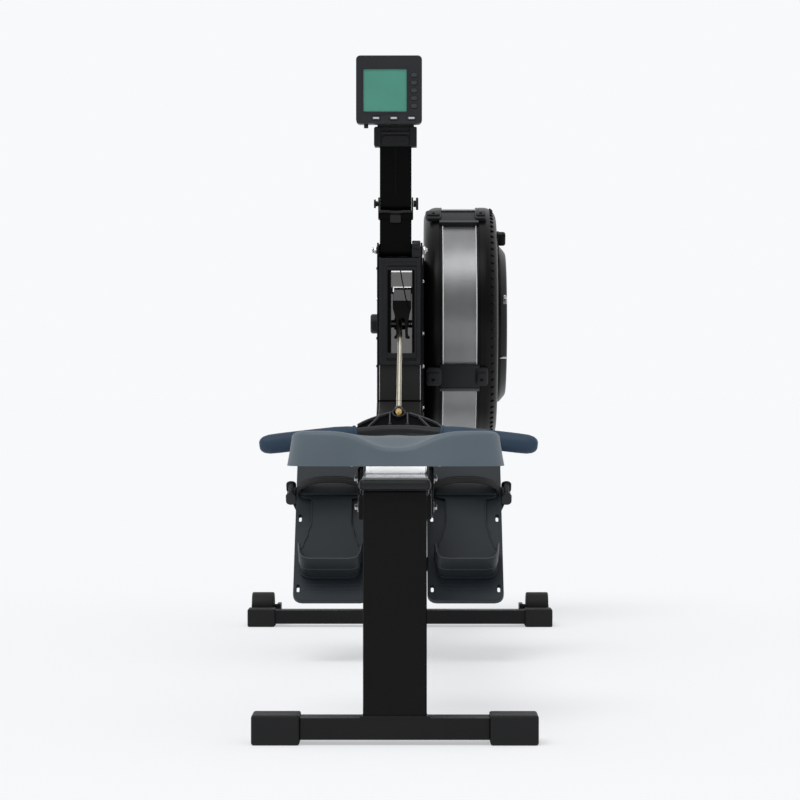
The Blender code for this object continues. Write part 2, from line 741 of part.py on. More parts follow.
def frame_outline():
    shelf = RAIL_BOTTOM - FIT
    leg_front = FRONT_LEG_STATION + FRONT_LEG_HALF_DEPTH + 0.045
    return [
        (FRAME_REAR, FRAME_BOTTOM),
        (PULLEY_STATION + 0.040, FRAME_BOTTOM),
        (PULLEY_STATION + 0.140, FRAME_BOTTOM + 0.045),
        (FRONT_LEG_STATION - 0.065, FRONT_LEG_TOP - 0.115),
        (leg_front, FRONT_LEG_TOP - 0.115),
        (leg_front + 0.015, FRONT_LEG_TOP + 0.010),
        (AXLE_STATION + 0.065, AXLE_HEIGHT - 0.065),
        (AXLE_STATION + 0.065, AXLE_HEIGHT + 0.065),
        (AXLE_STATION - 0.120, AXLE_HEIGHT + 0.090),
        (ARM_STATION + 0.045, ARM_PIVOT - 0.010),
        (ARM_STATION + 0.018, HEAD_TOP),
        (ARM_STATION - 0.017, HEAD_TOP),
        (FRAME_FACE, HEAD_TOP - 0.008),
        (FRAME_FACE, SHROUD_BOTTOM - 0.070),
        (FRAME_WALL_STATION + 0.108, FRAME_DECK),
        (FRAME_WALL_STATION, FRAME_DECK),
        (FRAME_WALL_STATION, shelf),
        (FRAME_REAR, shelf),
    ]


def frame_hollow():
    # The space between the side plates, open towards the rower and above the chain.
    inner = inset(frame_outline(), SHEET)
    face, top = FRAME_FACE - 0.03, HEAD_TOP + 0.03
    inner[10] = (ARM_STATION + 0.018, top)
    inner[11] = (ARM_STATION - 0.017, top)
    inner[12] = (face, top)
    inner[13] = (face, SHROUD_BOTTOM - 0.040)
    inner.insert(14, (FRAME_WALL_STATION + 0.116, FRAME_DECK + 0.030))
    return inner


def board_point(along, above):
    # Station and height of a place on a footboard: along it from the heel, and above its surface.
    station = BOARD_HEEL + along * math.cos(BOARD_ANGLE) - above * math.sin(BOARD_ANGLE)
    height = BOARD_HEEL_HEIGHT + along * math.sin(BOARD_ANGLE) + above * math.cos(BOARD_ANGLE)
    return station, height


def main_frame():
    body = side_prism(frame_outline(), -PLATE_OUTER, PLATE_OUTER)
    hollow = side_prism(frame_hollow(), -PLATE_INNER, PLATE_INNER)
    depth = FRONT_LEG_HALF_DEPTH + FIT
    leg_slot = box_at(
        (-PLATE_INNER, PLATE_INNER),
        (FRONT_LEG_STATION - depth, FRONT_LEG_STATION + depth),
        (FRONT_LEG_TOP - 0.140, FRONT_LEG_TOP - 0.100),
    )
    axle_hole = disc(AXLE_STATION, AXLE_HEIGHT, AXLE_RADIUS + 0.003, (-0.06, 0.06))
    frame = cut(body, [hollow, leg_slot, axle_hole])
    additions = []
    tubes = []
    gap = BOARD_THICKNESS + FIT + BOARD_TUBE_RADIUS
    for along in (BOARD_TUBE_LOW, BOARD_TUBE_HIGH):
        station, height = board_point(along, -gap)
        reach = (-BOARD_TUBE_HALF_LENGTH, BOARD_TUBE_HALF_LENGTH)
        additions.append(disc(station, height, BOARD_TUBE_RADIUS, reach, 20))
        beyond = (reach[0] - 0.01, reach[1] + 0.01)
        tubes.append(disc(station, height, BOARD_TUBE_RADIUS - 0.002, beyond, 12))
    within = (-PLATE_INNER - 0.002, PLATE_INNER + 0.002)
    additions.append(disc(PULLEY_STATION, PULLEY_HEIGHT, PULLEY_PIN_RADIUS, within, 12))
    additions.append(disc(CORD_PULLEY_STATION, CORD_PULLEY_HEIGHT, PULLEY_PIN_RADIUS, within, 12))
    additions.append(disc(CORD_ANCHOR_STATION, CORD_ANCHOR_HEIGHT, PULLEY_PIN_RADIUS, within, 12))
    for side in (-1.0, 1.0):
        inner, outer = sorted((side * 0.020, side * 0.026))
        additions.append(box_at((inner, outer), (lock_station() - 0.010, FRAME_REAR + 0.001),
                                (lock_height() - 0.011, lock_height() + 0.011)))
    additions.append(disc(lock_station(), lock_height(), PULLEY_PIN_RADIUS, (-0.023, 0.023), 12))
    for station, height in boss_places():
        reach = (PLATE_OUTER - 0.001, PLATE_OUTER + BOSS_HEIGHT)
        additions.append(disc(station, height, 0.008, reach, 16))
    frame = fused([frame] + additions)
    screw_hole = disc(ARM_STATION, ARM_PIVOT, SCREW_RADIUS + FIT, (-0.06, 0.06), 16)
    piece("main_frame", cut(frame, tubes + [screw_hole]), "black_steel")


def boss_places():
    # Standoffs on the right side plate that the cage is bolted to.
    return [
        (AXLE_STATION - 0.045, AXLE_HEIGHT + 0.040),
        (AXLE_STATION + 0.045, AXLE_HEIGHT + 0.040),
        (AXLE_STATION - 0.045, AXLE_HEIGHT - 0.060),
    ]


def lock_station():
    return FRAME_REAR - 0.014


def lock_height():
    return RAIL_BOTTOM - 0.052


def front_leg():
    half = PLATE_INNER - FIT
    depth = FRONT_LEG_HALF_DEPTH
    wall = TUBE_WALL
    leg = box_at(
        (-half, half),
        (FRONT_LEG_STATION - depth, FRONT_LEG_STATION + depth),
        (FRONT_BAR_BOTTOM + wall, FRONT_LEG_TOP),
    )
    bar_end = FRONT_FOOT_HALF_WIDTH - CAP_WALL - FIT
    bar_depth = FRONT_BAR_HALF_DEPTH
    bar = box_at(
        (-bar_end, bar_end),
        (FRONT_LEG_STATION - bar_depth, FRONT_LEG_STATION + bar_depth),
        (FRONT_BAR_BOTTOM, FRONT_BAR_TOP),
    )
    cap_inner = FRONT_FOOT_HALF_WIDTH - FRONT_CAP_LENGTH
    lug = box_at(
        (cap_inner - 0.010, cap_inner - 0.002),
        (FRONT_LEG_STATION + bar_depth - 0.001, CASTER_STATION + 0.009),
        (CASTER_HEIGHT - 0.011, FRONT_BAR_TOP + 0.010),
    )
    stub = disc(CASTER_STATION, CASTER_HEIGHT, CASTER_AXLE_RADIUS,
                (cap_inner - 0.006, caster_inner() + CASTER_WIDTH + 0.001), 16)
    shapes = [leg, bar, lug, mirrored(lug), stub, mirrored(stub)]
    leg_hollow = box_at(
        (-half + wall, half - wall),
        (FRONT_LEG_STATION - depth + wall, FRONT_LEG_STATION + depth - wall),
        (FRONT_BAR_TOP - wall, FRONT_LEG_TOP + 0.01),
    )
    bar_hollow = box_at(
        (-bar_end - 0.01, bar_end + 0.01),
        (FRONT_LEG_STATION - bar_depth + wall, FRONT_LEG_STATION + bar_depth - wall),
        (FRONT_BAR_BOTTOM + wall, FRONT_BAR_TOP - wall),
    )
    piece("front_leg", cut(fused(shapes), [leg_hollow, bar_hollow]), "black_steel")
    foot_caps("front_foot_cap", FRONT_LEG_STATION, FRONT_FOOT_HALF_WIDTH, FRONT_CAP_LENGTH,
              FRONT_CAP_HEIGHT, FRONT_CAP_HALF_DEPTH, FRONT_BAR_HALF_DEPTH,
              (FRONT_BAR_BOTTOM, FRONT_BAR_TOP))


def caster_inner():
    return FRONT_FOOT_HALF_WIDTH - FRONT_CAP_LENGTH + 0.004


def casters():
    start = caster_inner()
    edge = 0.008
    profile = [
        (start, CASTER_AXLE_RADIUS + FIT),
        (start + CASTER_WIDTH, CASTER_AXLE_RADIUS + FIT),
        (start + CASTER_WIDTH, CASTER_RADIUS * 0.55),
        (start + CASTER_WIDTH - 0.002, CASTER_RADIUS * 0.60),
        (start + CASTER_WIDTH - 0.002, CASTER_RADIUS * 0.80),
        (start + CASTER_WIDTH - edge, CASTER_RADIUS),
        (start + edge, CASTER_RADIUS),
        (start + 0.002, CASTER_RADIUS * 0.80),
        (start + 0.002, CASTER_RADIUS * 0.60),
        (start, CASTER_RADIUS * 0.55),
    ]
    pivot = (0.0, y_at(CASTER_STATION), CASTER_HEIGHT)
    right = turned(profile, CASTER_STATION, CASTER_HEIGHT, 28)
    left = mirrored(right)
    piece("caster_wheel_right", right, "foot_rubber", pivot)
    piece("caster_wheel_left", left, "foot_rubber", pivot)


def frame_lock():
    pivot_y, pivot_z = lock_station(), lock_height()
    hub = circle((pivot_y, pivot_z), 0.0105, 9, math.radians(-150.0), math.radians(150.0))
    tongue_top = RAIL_BOTTOM - FIT
    outline = hub + [
        (pivot_y + 0.0095, tongue_top - 0.006),
        (pivot_y + 0.004, tongue_top),
        (pivot_y - 0.012, tongue_top),
        (pivot_y - 0.012, tongue_top - 0.012),
        (pivot_y - 0.0105, pivot_z + 0.008),
        (pivot_y - 0.055, pivot_z - 0.004),
        (pivot_y - 0.090, pivot_z - 0.018),
        (pivot_y - 0.090, pivot_z - 0.026),
        (pivot_y - 0.050, pivot_z - 0.016),
    ]
    lever = side_prism(outline, -0.0195, 0.0195)
    bore = disc(pivot_y, pivot_z, PULLEY_PIN_RADIUS + FIT, (-0.03, 0.03), 12)
    piece("frame_lock_lever", cut(lever, [bore]), "dark_plastic", (0.0, y_at(pivot_y), pivot_z))


# Footboards, foot plates and straps, drawn as (across, along, above) on a board's surface
def on_board(shape):
    for vertex in shape.verts:
        across, along, above = vertex.co
        station, height = board_point(along, above)
        vertex.co = (across, y_at(station), height)
    return shape


def rounded_rectangle(low, high, radius, steps=5):
    corners = [
        ((high[0] - radius, low[1] + radius), -90.0),
        ((high[0] - radius, high[1] - radius), 0.0),
        ((low[0] + radius, high[1] - radius), 90.0),
        ((low[0] + radius, low[1] + radius), 180.0),
    ]
    outline = []
    for centre, start in corners:
        outline += circle(centre, radius, steps, math.radians(start), math.radians(90.0))
    return outline


def footboards():
    for name, turn in (("footboard_right", False), ("footboard_left", True)):
        outline = rounded_rectangle((BOARD_INNER, 0.0), (BOARD_OUTER, BOARD_LENGTH), 0.016)
        board = prism(outline, -BOARD_THICKNESS, 0.0, "Z")
        holes = []
        for along in (0.027, 0.187):
            for across in (BOARD_INNER + 0.0085, BOARD_OUTER - 0.0085):
                slot = rounded_rectangle((across - 0.0025, along - 0.008), (across + 0.0025, along + 0.008), 0.002, 3)
                holes.append(prism(slot, -BOARD_THICKNESS - 0.005, 0.005, "Z"))
        board = on_board(cut(board, holes))
        piece(name, mirrored(board) if turn else board, "board_plastic")


def foot_half_width(along):
    # Half the width of a foot plate: a boxy heel, a narrow waist and a wide toe piece.
    stations, widths = FOOT_STATIONS, FOOT_WIDTHS
    for index in range(len(stations) - 1):
        if along <= stations[index + 1]:
            share = (along - stations[index]) / (stations[index + 1] - stations[index])
            share = max(0.0, share)
            smooth = share * share * (3.0 - 2.0 * share)
            return widths[index] + (widths[index + 1] - widths[index]) * smooth
    return widths[-1]


def foot_plate_shape():
    steps = 32
    heel, toe = FOOT_STATIONS[0], FOOT_STATIONS[-1]
    alongs = [heel + (toe - heel) * i / (steps - 1) for i in range(steps)]
    right = [(PLATE_CENTRE + foot_half_width(a), a) for a in alongs]
    left = [(PLATE_CENTRE - foot_half_width(a), a) for a in reversed(alongs)]
    base = prism(right + left, FIT, FIT + FOOT_BASE, "Z")
    cup_end = CUP_END
    cup_alongs = [heel + (cup_end - heel) * i / 9 for i in range(10)]
    outer = [(PLATE_CENTRE + foot_half_width(a) - 0.001, a + 0.0005) for a in cup_alongs]
    outer = [(2.0 * PLATE_CENTRE - x, a) for x, a in reversed(outer)] + outer
    inner = []
    for x, a in reversed(outer):
        share = (x - PLATE_CENTRE) * (1.0 - HEEL_WALL / 0.050)
        rise = HEEL_WALL * (1.0 - min(1.0, (a - heel) / 0.030))
        inner.append((PLATE_CENTRE + share, min(a + rise, cup_end + 0.0005)))
    cup = prism(outer + inner, FOOT_BASE - 0.001, HEEL_HEIGHT, "Z")
    for vertex in cup.verts:
        if vertex.co.z > FOOT_BASE:
            fall = (vertex.co.y - heel) / (cup_end - heel)
            vertex.co.z = HEEL_HEIGHT - (HEEL_HEIGHT - CUP_END_HEIGHT) * fall * fall
    toe_alongs = [TOE_START + (toe - TOE_START) * i / 7 for i in range(8)]
    toe_right = [(PLATE_CENTRE + foot_half_width(a) - 0.001, a - 0.0005) for a in toe_alongs]
    toe_left = [(2.0 * PLATE_CENTRE - x, a) for x, a in reversed(toe_right)]
    toe_piece = prism(toe_right + toe_left, FOOT_BASE - 0.001, TOE_HEIGHT, "Z")
    return on_board(fused([base, cup, toe_piece]))


def foot_plates():
    shape = foot_plate_shape()
    piece("flexfoot_left", mirrored(shape), "dark_plastic")
    piece("flexfoot_right", shape, "dark_plastic")


def thick_line(points, half):
    # A closed outline at an even distance on both sides of an open line.
    sides = ([], [])
    for index, point in enumerate(points):
        before = Vector(points[max(index - 1, 0)])
        after = Vector(points[min(index + 1, len(points) - 1)])
        along = (after - before).normalized()
        normal = Vector((-along.y, along.x)) * half
        sides[0].append(tuple(Vector(point) + normal))
        sides[1].append(tuple(Vector(point) - normal))
    return sides[0] + sides[1][::-1]


def straps():
    reach = (BOARD_OUTER - BOARD_INNER) / 2.0 - 0.0055
    centre = (BOARD_INNER + BOARD_OUTER) / 2.0 + 0.0025
    foot = STRAP_FOOT
    line = [(centre - reach, FIT), (centre - reach, foot)]
    for i in range(11):
        share = -0.93 + 1.86 * i / 10
        line.append((centre + reach * share, foot + (STRAP_ARCH - foot) * (1.0 - share * share) ** 0.6))
    line += [(centre + reach, foot), (centre + reach, FIT)]
    band = prism(thick_line(line, STRAP_THICKNESS / 2.0), STRAP_PLACE - STRAP_WIDTH / 2.0,
                 STRAP_PLACE + STRAP_WIDTH / 2.0, "Y")
    band = on_board(band)
    piece("foot_strap_left", mirrored(band), "strap_web")
    piece("foot_strap_right", band, "strap_web")
    start = BOARD_OUTER + FIT
    along = (STRAP_PLACE - BUCKLE_BEHIND, STRAP_PLACE + BUCKLE_BEFORE)
    buckle = block((start, start + BUCKLE_WIDTH), along, (BUCKLE_LOW, BUCKLE_HIGH))
    buckle = on_board(buckle)
    piece("strap_buckle_left", mirrored(buckle), "dark_plastic", bevel=0.002)
    piece("strap_buckle_right", buckle, "dark_plastic", bevel=0.002)


# Flywheel end
def cage():
    radius, wall, shoulder = CAGE_RADIUS, CAGE_WALL, CAGE_SHOULDER
    hub_hole = HOUSING_RADIUS + 0.006

    def half(face, rim):
        # One shell: a face with a central hole, a round shoulder and a rim.
        way = 1.0 if rim > face else -1.0
        arc = [math.radians(90.0 * i / 4) for i in range(5)]
        outer = [(face + way * shoulder * (1.0 - math.cos(a)), radius - shoulder + shoulder * math.sin(a))
                 for a in arc]
        small = shoulder - wall
        inner = [(face + way * (wall + small * (1.0 - math.cos(a))), radius - shoulder + small * math.sin(a))
                 for a in arc]
        return [(face, hub_hole)] + outer + [(rim, radius), (rim, radius - wall)] + inner[::-1] + [
            (face + way * wall, hub_hole)]

    inner_shell = turned(half(CAGE_INNER_FACE, CAGE_INNER_RIM), AXLE_STATION, AXLE_HEIGHT, CAGE_STEPS)
    piece("cage_inner", inner_shell, "cage_plastic")
    outer_shell = turned(half(CAGE_OUTER_FACE, CAGE_OUTER_RIM), AXLE_STATION, AXLE_HEIGHT, CAGE_STEPS)
    vents = []
    for i in range(6):
        vents.append(sector(0.060, 0.125, math.radians(60.0 * i), math.radians(34.0),
                            (CAGE_OUTER_FACE - 0.01, CAGE_OUTER_FACE + 0.01)))
    piece("cage_outer", cut(outer_shell, vents), "cage_plastic")
    band_profile = [
        (CAGE_INNER_RIM - BAND_LAP, BAND_RADIUS - BAND_WALL),
        (CAGE_OUTER_RIM + BAND_LAP, BAND_RADIUS - BAND_WALL),
        (CAGE_OUTER_RIM + BAND_LAP, BAND_RADIUS),
        (CAGE_INNER_RIM - BAND_LAP, BAND_RADIUS),
    ]
    piece("perforated_band", turned(band_profile, AXLE_STATION, AXLE_HEIGHT, CAGE_STEPS), "band_steel")


def sector(inner, outer, middle, spread, x, steps=6):
    # A part of a ring about the axle, pulled across the machine.
    centre = (y_at(AXLE_STATION), AXLE_HEIGHT)
    outline = circle(centre, outer, steps, middle - spread / 2.0, spread)
    outline += circle(centre, inner, steps, middle + spread / 2.0, -spread)
    return prism(outline, x[0], x[1])


def flywheel():
    centre = (y_at(AXLE_STATION), AXLE_HEIGHT)
    outline = []
    blade = 0.0035
    for i in range(FAN_BLADES):
        angle = 2.0 * math.pi * i / FAN_BLADES
        gap = 2.0 * math.pi / FAN_BLADES
        tip = blade / FAN_RADIUS / 2.0
        root = blade / FAN_ROOT / 2.0
        outline += circle(centre, FAN_RADIUS, 2, angle - tip, 2.0 * tip)
        outline += circle(centre, FAN_ROOT, 3, angle + root, gap - 2.0 * root)
    body = prism(outline, FAN_INNER, FAN_OUTER)
    web = 0.005
    middle = (FAN_INNER + FAN_OUTER) / 2.0
    recesses = []
    for low, high in ((FAN_INNER - 0.01, middle - web), (middle + web, FAN_OUTER + 0.01)):
        recesses.append(turned([(low, 0.026), (high, 0.026), (high, FAN_ROOT - 0.012), (low, FAN_ROOT - 0.012)],
                               AXLE_STATION, AXLE_HEIGHT, 48))
    bore = disc(AXLE_STATION, AXLE_HEIGHT, AXLE_RADIUS + FIT, (FAN_INNER - 0.02, FAN_OUTER + 0.02), 24)
    pivot = (0.0, y_at(AXLE_STATION), AXLE_HEIGHT)
    piece("flywheel_fan", cut(body, recesses + [bore]), "fan_metal", pivot)
    left_end = -(PLATE_OUTER + FIT + HOUSING_DEPTH) + 0.003
    axle = disc(AXLE_STATION, AXLE_HEIGHT, AXLE_RADIUS, (left_end, CAGE_OUTER_FACE - 0.004), 24)
    piece("flywheel_axle", axle, "bright_steel", pivot)
    hub = SPROCKET_RADIUS - 0.002
    sprocket_profile = [
        (-0.012, AXLE_RADIUS + FIT),
        (0.012, AXLE_RADIUS + FIT),
        (0.012, hub),
        (CHAIN_WAIST - 0.0008, hub),
        (CHAIN_WAIST - 0.0008, SPROCKET_RADIUS),
        (-CHAIN_WAIST + 0.0008, SPROCKET_RADIUS),
        (-CHAIN_WAIST + 0.0008, hub),
        (-0.012, hub),
    ]
    piece("drive_sprocket", turned(sprocket_profile, AXLE_STATION, AXLE_HEIGHT, 28), "bright_steel", pivot)
    start = PLATE_OUTER + FIT
    end = start + HOUSING_DEPTH
    right_profile = [
        (start, AXLE_RADIUS + FIT),
        (end, AXLE_RADIUS + FIT),
        (end, HOUSING_RADIUS - 0.003),
        (end - 0.003, HOUSING_RADIUS),
        (start, HOUSING_RADIUS),
    ]
    left_profile = [
        (-start, AXLE_RADIUS + FIT),
        (-start, HOUSING_RADIUS),
        (-end + 0.003, HOUSING_RADIUS),
        (-end, HOUSING_RADIUS - 0.003),
        (-end, 0.0),
        (left_end - FIT, 0.0),
        (left_end - FIT, AXLE_RADIUS + FIT),
    ]
    for name, profile in (("right", right_profile), ("left", left_profile)):
        piece("bearing_housing_" + name, turned(profile, AXLE_STATION, AXLE_HEIGHT, 28), "dark_plastic")


def damper():
    face = CAGE_OUTER_FACE + FIT
    depth = DAMPER_DEPTH
    wall = 0.003
    radius = DAMPER_RADIUS
    dish = turned([
        (face, 0.030),
        (face, 0.048),
        (face + depth - wall, 0.058),
        (face + depth - wall, radius - 0.020),
        (face + wall, radius - 0.004),
        (face, radius - 0.004),
        (face, radius),
        (face + 0.006, radius),
        (face + depth, radius - 0.016),
        (face + depth, 0.0),
        (face + depth - wall, 0.0),
        (face + depth - wall, 0.030),
    ], AXLE_STATION, AXLE_HEIGHT, 48)
    centre = (y_at(AXLE_STATION), AXLE_HEIGHT)
    lean = math.radians(90.0) + DAMPER_LEAN
    near = circle(centre, radius - 0.010, 2, lean - 0.060, 0.120)
    far = circle(centre, DAMPER_LEVER, 2, lean + 0.045, -0.090)
    lever = prism(near + far, face, face + 0.004)
    tab_low = circle(centre, DAMPER_LEVER - 0.008, 2, lean - 0.045, 0.090)
    tab_high = circle(centre, DAMPER_LEVER, 2, lean + 0.045, -0.090)
    tab = prism(tab_low + tab_high, face + 0.001, face + 0.017)
    pivot = (0.0, y_at(AXLE_STATION), AXLE_HEIGHT)
    piece("damper_shutter", fused([dish, lever, tab]), "cage_plastic", pivot)


# Chain, shock cord and their wheels
def tangent(first, first_radius, second, second_radius):
    # Ends of a line touching two circles on the same side: to the left of the way from first to second.
    first, second = Vector(first), Vector(second)
    span = second - first
    lean = math.asin((first_radius - second_radius) / span.length)
    way = math.atan2(span.y, span.x)
    normal = Vector((math.cos(way + math.pi / 2.0 - lean), math.sin(way + math.pi / 2.0 - lean)))
    return first + normal * first_radius, second + normal * second_radius


def wrap(centre, radius, start, end, steps):
    # Points round a wheel, clockwise from the direction of one point to that of another.
    first = math.atan2(start[1] - centre[1], start[0] - centre[0])
    last = math.atan2(end[1] - centre[1], end[0] - centre[0])
    turn = (first - last) % (2.0 * math.pi)
    return circle(centre, radius, steps, first, -turn)


def spaced(start, end, step):
    # Points between two ends, without the ends, at about an even step.
    start, end = Vector(start), Vector(end)
    count = max(1, round((end - start).length / step))
    return [tuple(start.lerp(end, i / count)) for i in range(1, count)]


def ribbon(points, half_widths, half):
    # A flat bar along (station, height) points, with its own half width at each.
    shape = bmesh.new()
    rings = []
    for index, point in enumerate(points):
        before = Vector(points[max(index - 1, 0)])
        after = Vector(points[min(index + 1, len(points) - 1)])
        along = (after - before).normalized()
        normal = Vector((-along.y, along.x)) * half
        width = half_widths[index]
        ring = []
        for side, lift in ((-1, -1), (1, -1), (1, 1), (-1, 1)):
            place = Vector(point) + normal * lift
            ring.append(shape.verts.new((side * width, y_at(place.x), place.y)))
        rings.append(ring)
    for near, far in zip(rings, rings[1:]):
        for i in range(4):
            j = (i + 1) % 4
            shape.faces.new((near[i], near[j], far[j], far[i]))
    shape.faces.new(rings[0])
    shape.faces.new(rings[-1])
    bmesh.ops.recalc_face_normals(shape, faces=shape.faces)
    return shape


def chain_and_cord():
    axle = (AXLE_STATION, AXLE_HEIGHT)
    pulley = (PULLEY_STATION, PULLEY_HEIGHT)
    pulley_line = PULLEY_RADIUS + FIT + CHAIN_HALF_THICKNESS
    start = chain_start()
    top = tangent(start, 0.0, axle, CHAIN_RADIUS)[1]
    bottom, pulley_top = tangent(axle, CHAIN_RADIUS, pulley, -pulley_line)
    chain_end = (PULLEY_STATION + 0.120, PULLEY_HEIGHT - pulley_line + 0.001)
    run = [start] + spaced(start, top, CHAIN_PITCH / 2.0) + wrap(axle, CHAIN_RADIUS, top, bottom, 15)
    back = spaced(bottom, pulley_top, CHAIN_PITCH)
    turn_start = math.atan2(pulley_top[1] - pulley[1], pulley_top[0] - pulley[0])
    turn = circle(pulley, pulley_line, 13, turn_start, math.radians(270.0) - turn_start)
    points = run + back + turn + [chain_end]
    widths = []
    for index in range(len(points)):
        widths.append(CHAIN_HALF_WIDTH if index % 2 == 0 else CHAIN_WAIST)
    piece("drive_chain", ribbon(points, widths, CHAIN_HALF_THICKNESS), "chain_steel")
    wheel = (CORD_PULLEY_STATION, CORD_PULLEY_HEIGHT)
    wheel_line = CORD_PULLEY_RADIUS + FIT + CORD_RADIUS
    cord_start = (chain_end[0] + FIT, chain_end[1])
    anchor = (CORD_ANCHOR_STATION + PULLEY_PIN_RADIUS + FIT, CORD_ANCHOR_HEIGHT)
    low = tangent(wheel, wheel_line, cord_start, 0.0)[0]
    high = tangent(anchor, 0.0, wheel, wheel_line)[1]
    first = math.atan2(low[1] - wheel[1], low[0] - wheel[0])
    last = math.atan2(high[1] - wheel[1], high[0] - wheel[0])
    round_wheel = circle(wheel, wheel_line, 13, first, (last - first) % (2.0 * math.pi))
    cord_points = [cord_start, (cord_start[0] + 0.008, cord_start[1])] + round_wheel + [anchor]
    cord = swept([(0.0, y_at(s), h) for s, h in cord_points], CORD_RADIUS, 8)
    piece("shock_cord", cord, "cord_rubber")
    piece("return_pulley", grooved_wheel(pulley, PULLEY_RADIUS, 0.0070), "dark_plastic",
          (0.0, y_at(pulley[0]), pulley[1]))
    piece("cord_pulley", grooved_wheel(wheel, CORD_PULLEY_RADIUS, 0.0045), "dark_plastic",
          (0.0, y_at(wheel[0]), wheel[1]))


def grooved_wheel(centre, radius, groove):
    flange = 0.0025
    edge = groove + flange
    profile = [
        (-edge, PULLEY_PIN_RADIUS + FIT),
        (edge, PULLEY_PIN_RADIUS + FIT),
        (edge, radius + 0.005),
        (groove, radius + 0.005),
        (groove, radius),
        (-groove, radius),
        (-groove, radius + 0.005),
        (-edge, radius + 0.005),
    ]
    return turned(profile, centre[0], centre[1], 24)


# Handle, in its own tilted plane
def handle_point(across, forward, above=0.0):
    # A place on the handle: across the machine, forward in its plane, and square to that plane.
    y = y_at(HANDLE_STATION) + forward * math.cos(HANDLE_TILT) - above * math.sin(HANDLE_TILT)
    z = HANDLE_HEIGHT + forward * math.sin(HANDLE_TILT) + above * math.cos(HANDLE_TILT)
    return Vector((across, y, z))


def chain_start():
    # Station and height where the chain leaves the handle's swivel.
    apex = handle_point(0.0, HANDLE_APEX)
    apex_place = Vector((apex.y + ORIGIN_STATION, apex.z))
    axle = Vector((AXLE_STATION, AXLE_HEIGHT + CHAIN_RADIUS))
    way = (axle - apex_place).normalized()
    place = apex_place + way * SWIVEL_REACH
    return place.x, place.y


def on_handle(shape):
    for vertex in shape.verts:
        across, forward, above = vertex.co
        vertex.co = handle_point(across, forward, above)
    return shape


def bar_forward(across):
    # How far the bar lies forward of its straight middle; both halves bend back towards the rower.
    beyond = max(0.0, abs(across) - BAR_FLAT)
    return math.tan(HANDLE_BEND) * (BAR_BLEND - math.hypot(beyond, BAR_BLEND))


def handle():
    places = [BAR_END * share for share in (-1.0, -0.6, -0.4, -0.19, 0.19, 0.4, 0.6, 1.0)]
    bar = [handle_point(x, bar_forward(x)) for x in places]
    bar_shape = swept(bar, HANDLE_BAR_RADIUS, 14)
    foot_rise = bar_forward(WEB_FOOT) + WEB_RISE
    tip_rise = HANDLE_APEX - WEB_TIP_INSET
    web = [
        (-WEB_FOOT, foot_rise),
        (-WEB_MIDDLE, WEB_RISE),
        (WEB_MIDDLE, WEB_RISE),
        (WEB_FOOT, foot_rise),
        (WEB_SHOULDER, WEB_SHOULDER_RISE),
        (WEB_TIP, tip_rise),
        (-WEB_TIP, tip_rise),
        (-WEB_SHOULDER, WEB_SHOULDER_RISE),
    ]
    plate = on_handle(prism(web, -WEB_HALF_THICKNESS, WEB_HALF_THICKNESS, "Z"))
    ribs = []
    for step in range(-2, 3):
        across = step * RIB_STEP
        foot = handle_point(across, RIB_RISE + bar_forward(across))
        tip = handle_point(across * 0.16, HANDLE_APEX - RIB_RISE)
        ribs.append(rod(foot, tip, RIB_RADIUS, 8))
    pegs = []
    sockets = []
    for side in (-1.0, 1.0):
        inner = handle_point(side * PEG_START, bar_forward(PEG_START))
        outer = handle_point(side * PEG_END, bar_forward(PEG_END))
        pegs.append(rod(inner, outer, PEG_RADIUS, 14))
        beyond = outer + (outer - inner).normalized() * FIT
        sockets.append(rod(inner, beyond, PEG_RADIUS + FIT, 14))
    leave = chain_start()
    tail = Vector((0.0, y_at(leave[0]), leave[1]))
    apex = handle_point(0.0, HANDLE_APEX)
    way = (tail - apex).normalized()
    nose = rod(apex - way * NOSE_INSET, apex + way * NOSE_LENGTH, NOSE_RADIUS, 12)
    piece("handle_core", fused([bar_shape, plate] + ribs + pegs + [nose]), "dark_plastic")
    sizes = [0.0150, 0.0168, GRIP_RADIUS, GRIP_RADIUS, GRIP_RADIUS, 0.0168, 0.0145, 0.0090]
    shares = [0.0, 0.06, 0.20, 0.50, 0.80, 0.93, 0.98, 1.0]
    start = BAR_END + FIT
    for name, side, socket in zip(("left", "right"), (-1.0, 1.0), sockets):
        points = []
        for share in shares:
            x = start + (HANDLE_HALF_WIDTH - start) * share
            points.append(handle_point(side * x, bar_forward(x)))
        piece("handle_grip_" + name, cut(swept(points, sizes, 18), [socket]), "grip_rubber")
    body = rod(apex + way * (NOSE_LENGTH + FIT), tail - way * (FIT + NECK_LENGTH), SWIVEL_RADIUS, 14)
    neck = rod(tail - way * (FIT + NECK_LENGTH + 0.002), tail - way * FIT, NECK_RADIUS, 12)
    piece("chain_swivel", fused([body, neck]), "swivel_brass")


def handle_hook():
    radius = HANDLE_BAR_RADIUS + FIT
    centre = (HANDLE_STATION, HANDLE_HEIGHT)
    groove = circle(centre, radius, 7, math.radians(-30.0), math.radians(-95.0))
    base = FRAME_DECK + FIT
    front_lip = groove[0]
    rear_lip = groove[-1]
    outline = [
        (FRAME_WALL_STATION + 0.100, base),
        (FRAME_WALL_STATION + 0.100, base + 0.004),
        (FRAME_WALL_STATION + 0.040, base + 0.005),
        (front_lip[0] + 0.016, front_lip[1] - 0.004),
        (front_lip[0] + 0.004, front_lip[1] + 0.002),
    ] + groove + [
        (rear_lip[0] - 0.004, rear_lip[1]),
        (rear_lip[0] - 0.004, rear_lip[1] - 0.006),
        (HANDLE_STATION, HANDLE_HEIGHT - 0.024),
        (FRAME_WALL_STATION + 0.010, base),
    ]
    piece("handle_hook", side_prism(outline, -0.012, 0.012), "black_steel")


